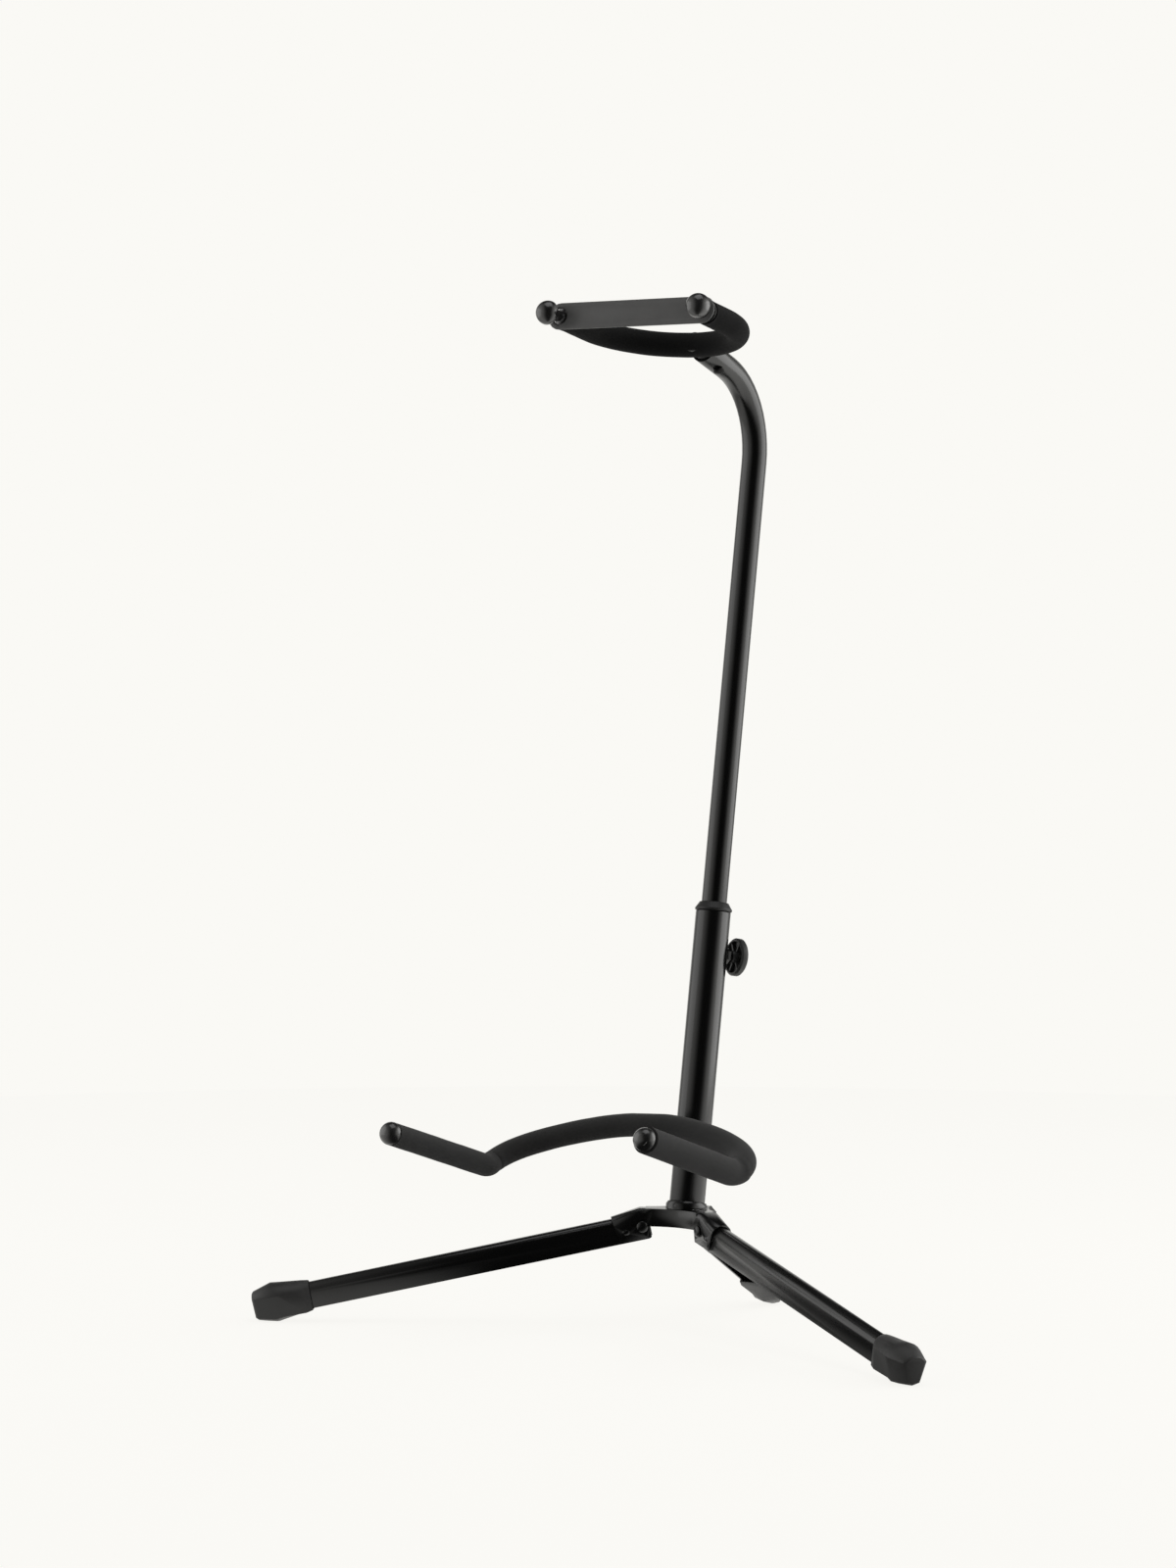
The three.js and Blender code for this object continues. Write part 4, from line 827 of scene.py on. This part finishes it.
@dataclass
class BallCap:
    """A ball cap on a rod's end: an optional flange, a neck and a flattened ball."""

    name: str
    neck_diameter: float
    neck_length: float
    flange_thickness: float = 0.0
    flange_diameter: float = 16 * MM
    diameter: float = 17 * MM
    thickness: float = 12.4 * MM
    back_rounding: float = 4 * MM
    back_angle: float = -8
    back_steps: int = 9
    dome_angle: float = 5
    dome_steps: int = 17
    gap: float = 0.3 * MM
    seam: float = 0.16 * MM
    lip: float = 0.35 * MM
    steps: int = 64
    smooth_angle: float = math.radians(40)

    def model(self, foot: Vector, direction: Vector) -> bpy.types.Object:
        """Turns the cap where its foam ends.

        Args:
            foot: The end of the foam, on the rod's line.
            direction: The way that the rod points there.

        Returns:
            The new object.
        """
        neck = self.neck_diameter / 2
        radius = self.diameter / 2
        run = self.gap
        profile = [(0, run)]
        if self.flange_thickness > 0:
            rim = self.flange_diameter / 2
            top = run + self.flange_thickness
            profile += [(rim - self.lip, run), (rim, run + self.lip), (rim, top - self.lip)]
            profile += [(rim - self.lip, top), (neck, top)]
            run = top
        else:
            profile.append((neck, run))
        ball = run + self.neck_length
        back = self.back_rounding
        equator = ball + back
        profile.append((neck, ball))
        profile += arc_points((radius - back, equator), (back, back), -90, self.back_angle,
                              self.back_steps)
        profile += [(radius, equator - self.seam), (radius - self.seam, equator),
                    (radius, equator + self.seam)]
        dome = self.thickness - back
        profile += arc_points((0, equator), (radius, dome), self.dome_angle, 90,
                              self.dome_steps)[:-1]
        profile.append((0, ball + self.thickness))
        piece = lathe(self.name, profile, foot, direction, self.steps)
        smooth(piece, self.smooth_angle)
        return piece


# Sub-assemblies


@dataclass
class SubAssembly:
    """Builds and dresses the pieces of one part of the stand."""

    paints: Paintbox
    title = "sub-assembly"

    def keep(self, node: str, finish: Finish) -> None:
        """Gives a solid that stays as it is a better material.

        Args:
            node: The solid's node.
            finish: What it is made of.
        """
        solid = frame["nodes"][node]
        material = self.paints.material(finish)
        if solid.material_slots:
            for place in solid.material_slots:
                place.material = material
        else:
            solid.data.materials.append(material)
        log.info("%s: %s keeps its solid", self.title, node)

    def hand_over(self, piece: bpy.types.Object, finish: Finish, *nodes: str) -> None:
        """Dresses a new piece and puts it in place of its solids, on their body.

        Args:
            piece: The new object.
            finish: What it is made of.
            *nodes: The nodes of the solids that it replaces.
        """
        piece.data.materials.clear()
        piece.data.materials.append(self.paints.material(finish))
        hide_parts(*nodes)
        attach(piece, body_of(frame["nodes"][nodes[0]])[0])
        log.info("%s: %s stands for %s", self.title, piece.name, ", ".join(nodes))

    def refine(self, node: str, finish: Finish, width: float) -> None:
        """Replaces a solid by its refined copy."""
        self.hand_over(refined_copy(node, f"{node}_finished", width), finish, node)

    def build(self) -> None:
        """Makes and dresses every piece."""
        raise NotImplementedError


@dataclass
class Mast(SubAssembly):
    """The two tubes, the parts between them and the cradle's lug."""

    tube_edge: float = 0.35 * MM
    moulded_edge: float = 0.4 * MM
    screw_edge: float = 0.2 * MM
    title = "mast"

    def build(self) -> None:
        """Makes and dresses every piece."""
        for node in ("outer_tube", "height_tube"):
            self.refine(node, Enamel(), self.tube_edge)
        self.refine("cradle_lug", Enamel(), self.moulded_edge)
        self.refine("tube_bush", BUSH_PLASTIC, self.moulded_edge)
        self.refine("tube_seat_ring", Enamel(), self.moulded_edge)
        for node in ("tube_plug", "neck_plug"):
            self.keep(node, Plastic())
        self.keep("guide_plug", Nylon())
        self.refine("neck_screw", BLACK_STEEL, self.screw_edge)


@dataclass
class Hub(SubAssembly):
    """The pressed plate with its three ears, its bolt and the legs' rivets."""

    plate_edge: float = 0.45 * MM
    fastener_edge: float = 0.3 * MM
    title = "hub"

    def build(self) -> None:
        """Makes and dresses every piece."""
        self.refine("hub", Enamel(), self.plate_edge)
        for node in ("hub_bolt", "hub_washer"):
            self.refine(node, Steel(), self.fastener_edge)
        for place in LEG_PLACES:
            self.refine(f"{place}_rivet", RIVET_ENAMEL, self.fastener_edge)


@dataclass
class Leg(SubAssembly):
    """One folding channel leg with its rubber foot."""

    place: str
    channel_edge: float = 0.35 * MM
    foot_edge: float = 0.7 * MM
    title = "leg"

    def build(self) -> None:
        """Makes and dresses every piece."""
        self.refine(f"{self.place}_leg", Enamel(), self.channel_edge)
        self.refine(f"{self.place}_foot", FOOT_RUBBER, self.foot_edge)


@dataclass
class Clamp(SubAssembly):
    """The height clamp: nut, screw, pad and knob."""

    nut_edge: float = 0.3 * MM
    screw_edge: float = 0.2 * MM
    knob_edge: float = 0.45 * MM
    title = "clamp"

    def build(self) -> None:
        """Makes and dresses every piece."""
        self.refine("clamp_nut", Enamel(), self.nut_edge)
        self.refine("clamp_screw", Steel(), self.screw_edge)
        self.keep("clamp_pad", Nylon())
        self.refine("clamp_knob", KNOB_PLASTIC, self.knob_edge)


@dataclass
class Yoke(SubAssembly):
    """The neck yoke: rod, foam sleeve, ball caps and the rubber strap between them."""

    end: Vector
    tilt: float = math.radians(10.4)
    diameter: float = 17.5 * MM
    radius: float = 56.3 * MM
    arm: float = 24 * MM
    splay: float = math.radians(12)
    splay_radius: float = 15 * MM
    splay_steps: int = 5
    foam_run: float = 1.5 * MM
    arc_steps: int = 64
    cap_neck_diameter: float = 8.2 * MM
    cap_neck_length: float = 11 * MM
    cap_flange: float = 1.6 * MM
    strap_edge: float = 0.5 * MM
    title = "yoke"

    def _placed(self, across: float, back: float) -> Vector:
        """A point of the yoke's plane, in the model's frame."""
        drop = -back * math.sin(self.tilt)
        return self.end + Vector((across, back * math.cos(self.tilt), drop))

    def _corner(self) -> tuple[float, float]:
        """Where the arm's line meets the peg's line."""
        reach = self.splay_radius * math.tan(self.splay / 2)
        return self.radius, -self.radius - self.arm - reach

    def foam_end(self, side: Side) -> Vector:
        """The end of the foam.

        Args:
            side: The yoke's side.

        Returns:
            The end, on the rod's line.
        """
        across, back = self._corner()
        run = self.splay_radius * math.tan(self.splay / 2) + self.foam_run
        across += run * math.sin(self.splay)
        return self._placed(side.value * across, back - run * math.cos(self.splay))

    def peg_direction(self, side: Side) -> Vector:
        """The way that the peg points on one side."""
        tip = self._placed(side.value * math.sin(self.splay), -math.cos(self.splay))
        return (tip - self.end).normalized()

    def _half(self, side: Side) -> Path:
        """Half of the sleeve's path.

        Args:
            side: The yoke's side.

        Returns:
            The path from the middle to the foam's end.
        """
        bow = []
        for i in range(self.arc_steps + 1):
            turn = math.pi / 2 * i / self.arc_steps
            across = side.value * self.radius * math.sin(turn)
            bow.append(self._placed(across, self.radius * (math.cos(turn) - 1)))
        across, back = self._corner()
        corner = self._placed(side.value * across, back)
        end = self.foam_end(side)
        return bow + fillet(bow[-1], corner, end, self.splay_radius, self.splay_steps) + [end]

    def build(self) -> None:
        """Makes and dresses every piece."""
        path = self._half(Side.LEFT)[:0:-1] + self._half(Side.RIGHT)
        sleeve = Sleeve("yoke_sleeve", path, self.diameter).model()
        # The yoke's sleeve wears the foam that is painted darker as painted shade.
        self.hand_over(sleeve, SHADED_FOAM, "yoke_foam")
        for side in Side:
            cap = BallCap(f"yoke_{side.word}_ball", self.cap_neck_diameter,
                          self.cap_neck_length, self.cap_flange)
            ball = cap.model(self.foam_end(side), self.peg_direction(side))
            self.hand_over(ball, GLOSS_PLASTIC, f"yoke_cap_{side.word}")
        self.refine("neck_strap", STRAP_RUBBER, self.strap_edge)
        self.keep("yoke_rod", Steel())


@dataclass(frozen=True)
class Slit:
    """A slit behind the rod: its angles in degrees up from straight back, and its half width."""

    start: float
    end: float
    half_width: float


@dataclass
class Cradle(SubAssembly):
    """The body cradle: bent rod, foam sleeve, ball caps and stop collars."""

    middle: Vector
    roll: float = math.radians(1.9)
    diameter: float = 16.4 * MM
    straight: float = 11 * MM
    start_run: float = 23.8 * MM
    half_width: float = 97 * MM
    elbow: Vector = Vector((99.1, -51.7, -26.4)) * MM
    slant: Vector = Vector((8.9, 35.3, 13.1)) * MM
    arm: Vector = Vector((2.0, -113.25, 32.5)) * MM
    crept: Vector = Vector((-1.2, 0, 1.15)) * MM
    crept_slant: Vector = Vector((9.4, 35.3, 9.65)) * MM
    fuller: float = 0.13
    slimmer: float = 0.03
    bend_radius: float = 19 * MM
    bend_steps: int = 14
    bend_clearance: float = 1 * MM
    bow_steps: int = 60
    lug_slit: Slit = Slit(-40, 82, 3.3 * MM)
    teeth_slit: Slit = Slit(-69, -27, 7.6 * MM)
    cutter_corners: int = 96
    cap_neck_diameter: float = 13 * MM
    cap_diameter: float = 16 * MM
    cap_thickness: float = 8.2 * MM
    cap_back_rounding: float = 1.2 * MM
    stop_edge: float = 0.25 * MM
    title = "cradle"

    def _placed(self, local: Vector, side: Side) -> Vector:
        """Places a point of the cradle's own frame in the model's frame.

        Args:
            local: The point, given for the cradle's right half.
            side: The half that it is wanted for.

        Returns:
            The point in the model's frame.
        """
        across = side.value * local.x
        cosine, sine = math.cos(self.roll), math.sin(self.roll)
        level = across * cosine - local.z * sine
        return self.middle + Vector((level, local.y, across * sine + local.z * cosine))

    def _elbow(self, side: Side) -> Vector:
        """Where the bow's line meets the arm's: the sleeve has crept up on the right."""
        return self.elbow + self.crept if side is Side.RIGHT else self.elbow

    def girth(self, place: Vector) -> float:
        """The sleeve's share of its plain girth: it has crept, and is fuller on the right."""
        share = max(-1.0, min(1.0, place.x / self.half_width))
        return 1 + (self.fuller * share ** 2 if share > 0 else self.slimmer * share)

    def tip(self, side: Side) -> Vector:
        """The end of the foam on one side."""
        return self._placed(self._elbow(side) + self.arm, side)

    def arm_direction(self, side: Side) -> Vector:
        """The way that the arm points on one side."""
        return (self.tip(side) - self._placed(self._elbow(side), side)).normalized()

    def _half(self, side: Side) -> Path:
        """Half of the sleeve's path.

        Args:
            side: The cradle's side.

        Returns:
            The path from the bow's start to the foam's end.
        """
        start = Vector((self.straight, 0, 0))
        ahead = start + Vector((self.start_run, 0, 0))
        slant = self._elbow(side) + (self.crept_slant if side is Side.RIGHT else self.slant)
        drawn = interpolate_bezier(start, ahead, slant, self._elbow(side), self.bow_steps)
        bow = [self._placed(point, side) for point in drawn]
        elbow = self._placed(self._elbow(side), side)
        bend = fillet(self._placed(slant, side), elbow, self.tip(side), self.bend_radius,
                      self.bend_steps)
        kept = [point for point in bow if point.y > bend[0].y + self.bend_clearance]
        return kept + bend + [self.tip(side)]

    def _wedge(self, slit: Slit) -> bpy.types.Object:
        """Makes a slit's cutter: the slice of a disc across the rod between two angles.

        Args:
            slit: The slit to cut.

        Returns:
            The cutter.
        """
        deselect()
        bpy.ops.mesh.primitive_cylinder_add(
            vertices=self.cutter_corners, radius=self.diameter, depth=2 * slit.half_width,
            location=self.middle, rotation=(0, math.pi / 2 - self.roll, 0))
        cutter = bpy.context.object
        settle(cutter)
        with editing(cutter):
            for degrees, sign in ((slit.start, 1), (slit.end, -1)):
                angle = math.radians(degrees)
                normal = Vector((0, -math.sin(angle), math.cos(angle))) * sign
                bpy.ops.mesh.select_all(action="SELECT")
                bpy.ops.mesh.bisect(plane_co=self.middle, plane_no=normal, use_fill=True,
                                    clear_inner=True)
        return cutter

    def _slit(self, sleeve: bpy.types.Object) -> None:
        """Slits the sleeve for the lug and for the teeth of the stop collars.

        Args:
            sleeve: The sleeve's object.
        """
        for cutter in (self._wedge(self.lug_slit), self._wedge(self.teeth_slit)):
            apply_modifier(sleeve, "BOOLEAN", object=cutter, operation="DIFFERENCE",
                           solver="EXACT")
            bpy.data.objects.remove(cutter, do_unlink=True)

    def build(self) -> None:
        """Makes and dresses every piece."""
        path = self._half(Side.LEFT)[::-1] + self._half(Side.RIGHT)
        sleeve = Sleeve("cradle_sleeve", path, self.diameter, self.girth).model()
        self._slit(sleeve)
        self.hand_over(sleeve, Foam(), "cradle_foam")
        for side in Side:
            cap = BallCap(f"cradle_{side.word}_cap", self.cap_neck_diameter, 0,
                          diameter=self.cap_diameter, thickness=self.cap_thickness,
                          back_rounding=self.cap_back_rounding)
            ball = cap.model(self.tip(side), self.arm_direction(side))
            self.hand_over(ball, GLOSS_PLASTIC, f"cradle_cap_{side.word}")
            self.refine(f"cradle_stop_{side.word}", Steel(), self.stop_edge)
        self.keep("cradle_rod", Steel())


# Studio


@dataclass
class Softbox:
    """A large soft lamp: its bearing is in degrees from the camera, positive to the right."""

    name: str
    bearing: float
    distance: float
    height: float
    size: tuple[float, float]
    power: float

    def hang(self, aim: Vector, towards: Vector) -> None:
        """Adds the lamp and turns it to the stand.

        Args:
            aim: The point that it lights.
            towards: The level direction from the stand to the camera.
        """
        spoke = Quaternion(UP, math.radians(self.bearing)) @ towards
        place = Vector((aim.x, aim.y, 0)) + spoke * self.distance + UP * self.height
        deselect()
        bpy.ops.object.light_add(type="AREA", location=place)
        lamp = bpy.context.object
        lamp.name = self.name
        lamp.rotation_euler = (aim - place).to_track_quat("-Z", "Y").to_euler()
        lamp.data.shape = "RECTANGLE"
        lamp.data.size, lamp.data.size_y = self.size
        lamp.data.energy = self.power


SOFTBOXES = (
    Softbox("left_softbox", bearing=-98, distance=1.5, height=0.62, size=(1.6, 1.5), power=5.0),
    Softbox("right_softbox", bearing=98, distance=1.5, height=0.62, size=(1.3, 1.5), power=9.0),
    Softbox("top_softbox", bearing=30, distance=0.4, height=3.4, size=(2.4, 2.4), power=23.0),
)


@dataclass
class Studio:
    """Camera, lamps, pale floor and pale surroundings.

    The glows say how bright the room looks in the gloss. A glow grows over its band: the
    cosine of the angle to the camera's right, or for far and fade to the way it looks.
    """

    eye: Vector
    back: Vector
    roll: float = math.radians(0.12)
    lens: float = 101.866
    sensor: float = 36.0
    aim: Vector = Vector((-0.02, 0.0, 0.36))
    floor_size: float = 3.6
    floor_corners: int = 96
    floor_colours: tuple[Colour, Colour] = (grey(0.56), grey(0.62))
    floor_patches: Grain = Grain(3, 4)
    floor_glow: float = 0.8
    floor_strength: float = 1.165
    paper: Colour = (0.956, 0.947, 0.913, 1.0)
    ambient: float = 0.32
    least_glow: float = 0.02
    left_glow: float = 0.95
    left_band: tuple[float, float] = (-0.25, -1.0)
    right_glow: float = 1.5
    right_band: tuple[float, float] = (0.45, 1.0)
    far_band: tuple[float, float] = (0.75, 0.99)
    fade: float = 0.72
    fade_band: tuple[float, float] = (0.0, 0.7)
    glow_middle: Vector = Vector((-0.12, 0.02, 0))

    @property
    def towards(self) -> Vector:
        """The level direction from the stand to the camera."""
        return Vector((self.back.x, self.back.y, 0)).normalized()

    def set_camera(self) -> None:
        """Adds the camera at the photograph's place and angle."""
        deselect()
        bpy.ops.object.camera_add()
        camera = bpy.context.object
        camera.name = "camera"
        level = UP.cross(self.back).normalized()
        above = self.back.cross(level)
        right = level * math.cos(self.roll) + above * math.sin(self.roll)
        up = self.back.cross(right)
        turn = Matrix((right, up, self.back)).transposed().to_4x4()
        camera.matrix_world = Matrix.Translation(self.eye) @ turn
        camera.data.lens = self.lens
        camera.data.sensor_width = self.sensor
        bpy.context.scene.camera = camera

    def set_lamps(self) -> None:
        """Hangs the soft lamps."""
        for softbox in SOFTBOXES:
            softbox.hang(self.aim, self.towards)

    def _seen(self, recipe: Recipe) -> tuple[Shade, Shade]:
        """Whether a ray comes from the camera, and whether it is mirrored or goes through."""
        camera, mirrored, through = (recipe.node("ShaderNodeLightPath", output=name) for name in
                                     ("Is Camera Ray", "Is Glossy Ray", "Is Transmission Ray"))
        return camera, mirrored + through

    def _room(self, recipe: Recipe, ray: Shade) -> Shade:
        """How bright the room looks in the gloss, by direction.

        Args:
            recipe: The tree to add the nodes to.
            ray: The direction, of length 1.

        Returns:
            The strength: pale behind the stand and at both sides, dark where the camera stands.
        """
        right = UP.cross(self.towards)
        far = recipe.vector_math("DOT_PRODUCT", ray, -self.towards)
        side = recipe.vector_math("DOT_PRODUCT", ray, right)
        left_glow = recipe.spread(side, *self.left_band, 0.0, self.left_glow)
        right_glow = recipe.spread(side, *self.right_band, 0.0, self.right_glow)
        fade = recipe.spread(far, *self.fade_band, 1.0, self.fade)
        behind = recipe.spread(far, *self.far_band)
        return behind + (left_glow + right_glow) * fade + self.least_glow

    def _emission(self, recipe: Recipe, kind: str, strength: Shade | float) -> Shade:
        """A shader that glows in the paper's colour: a background or an emission."""
        return recipe.node(kind, {}, {"Color": self.paper, "Strength": strength})

    def set_surroundings(self) -> None:
        """Pale paper all round, with the room dark behind the camera in the gloss."""
        world = bpy.data.worlds.new("studio")
        bpy.context.scene.world = world
        recipe = Recipe(world)
        room = self._room(recipe, recipe.node("ShaderNodeTexCoord", output="Generated"))
        camera, mirrored = self._seen(recipe)
        strength = camera + mirrored * room + (1 - camera - mirrored) * self.ambient
        shader = self._emission(recipe, "ShaderNodeBackground", strength)
        recipe.node_output("ShaderNodeOutputWorld", shader)

    def lay_floor(self) -> None:
        """A round pale floor that glows like paper for the camera and keeps the shadow."""
        deselect()
        bpy.ops.mesh.primitive_circle_add(vertices=self.floor_corners,
                                          radius=self.floor_size / 2, fill_type="NGON",
                                          location=(0, 0, 0))
        floor = bpy.context.object
        floor.name = "floor"
        recipe = Recipe(bpy.data.materials.new("pale_floor"))
        camera, mirrored = self._seen(recipe)
        paper = recipe.mix(recipe.noise(self.floor_patches), *self.floor_colours)
        lit = recipe.node("ShaderNodeBsdfDiffuse", {}, {"Color": paper})
        glow = self._emission(recipe, "ShaderNodeEmission", self.floor_strength)
        offset = recipe.vector_math("SUBTRACT", recipe.place(), self.glow_middle, "Vector")
        outward = recipe.vector_math("NORMALIZE", offset, output="Vector")
        room = self._emission(recipe, "ShaderNodeEmission", self._room(recipe, outward))
        share = camera * self.floor_glow
        plain = recipe.node("ShaderNodeMixShader", {}, {0: share, 1: lit, 2: glow})
        shader = recipe.node("ShaderNodeMixShader", {}, {0: mirrored, 1: plain, 2: room})
        recipe.node_output("ShaderNodeOutputMaterial", shader)
        floor.data.materials.append(recipe.owner)

    def build(self) -> None:
        """Sets up the whole studio."""
        self.set_camera()
        self.set_lamps()
        self.set_surroundings()
        self.lay_floor()
        bpy.context.scene.view_settings.view_transform = "Standard"


def main() -> None:
    """Builds the studio and the stand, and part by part."""
    logging.basicConfig(level=logging.INFO, format="%(message)s", stream=sys.stdout)
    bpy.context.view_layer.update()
    Studio(CAMERA_PLACE, CAMERA_BACK).build()
    paints = Paintbox()
    parts = [
        Hub(paints),
        *(Leg(paints, place) for place in LEG_PLACES),
        Mast(paints),
        Clamp(paints),
        Yoke(paints, YOKE_END),
        Cradle(paints, CRADLE_MIDDLE),
    ]
    for part in parts:
        part.build()


if __name__ == "__main__":
    main()
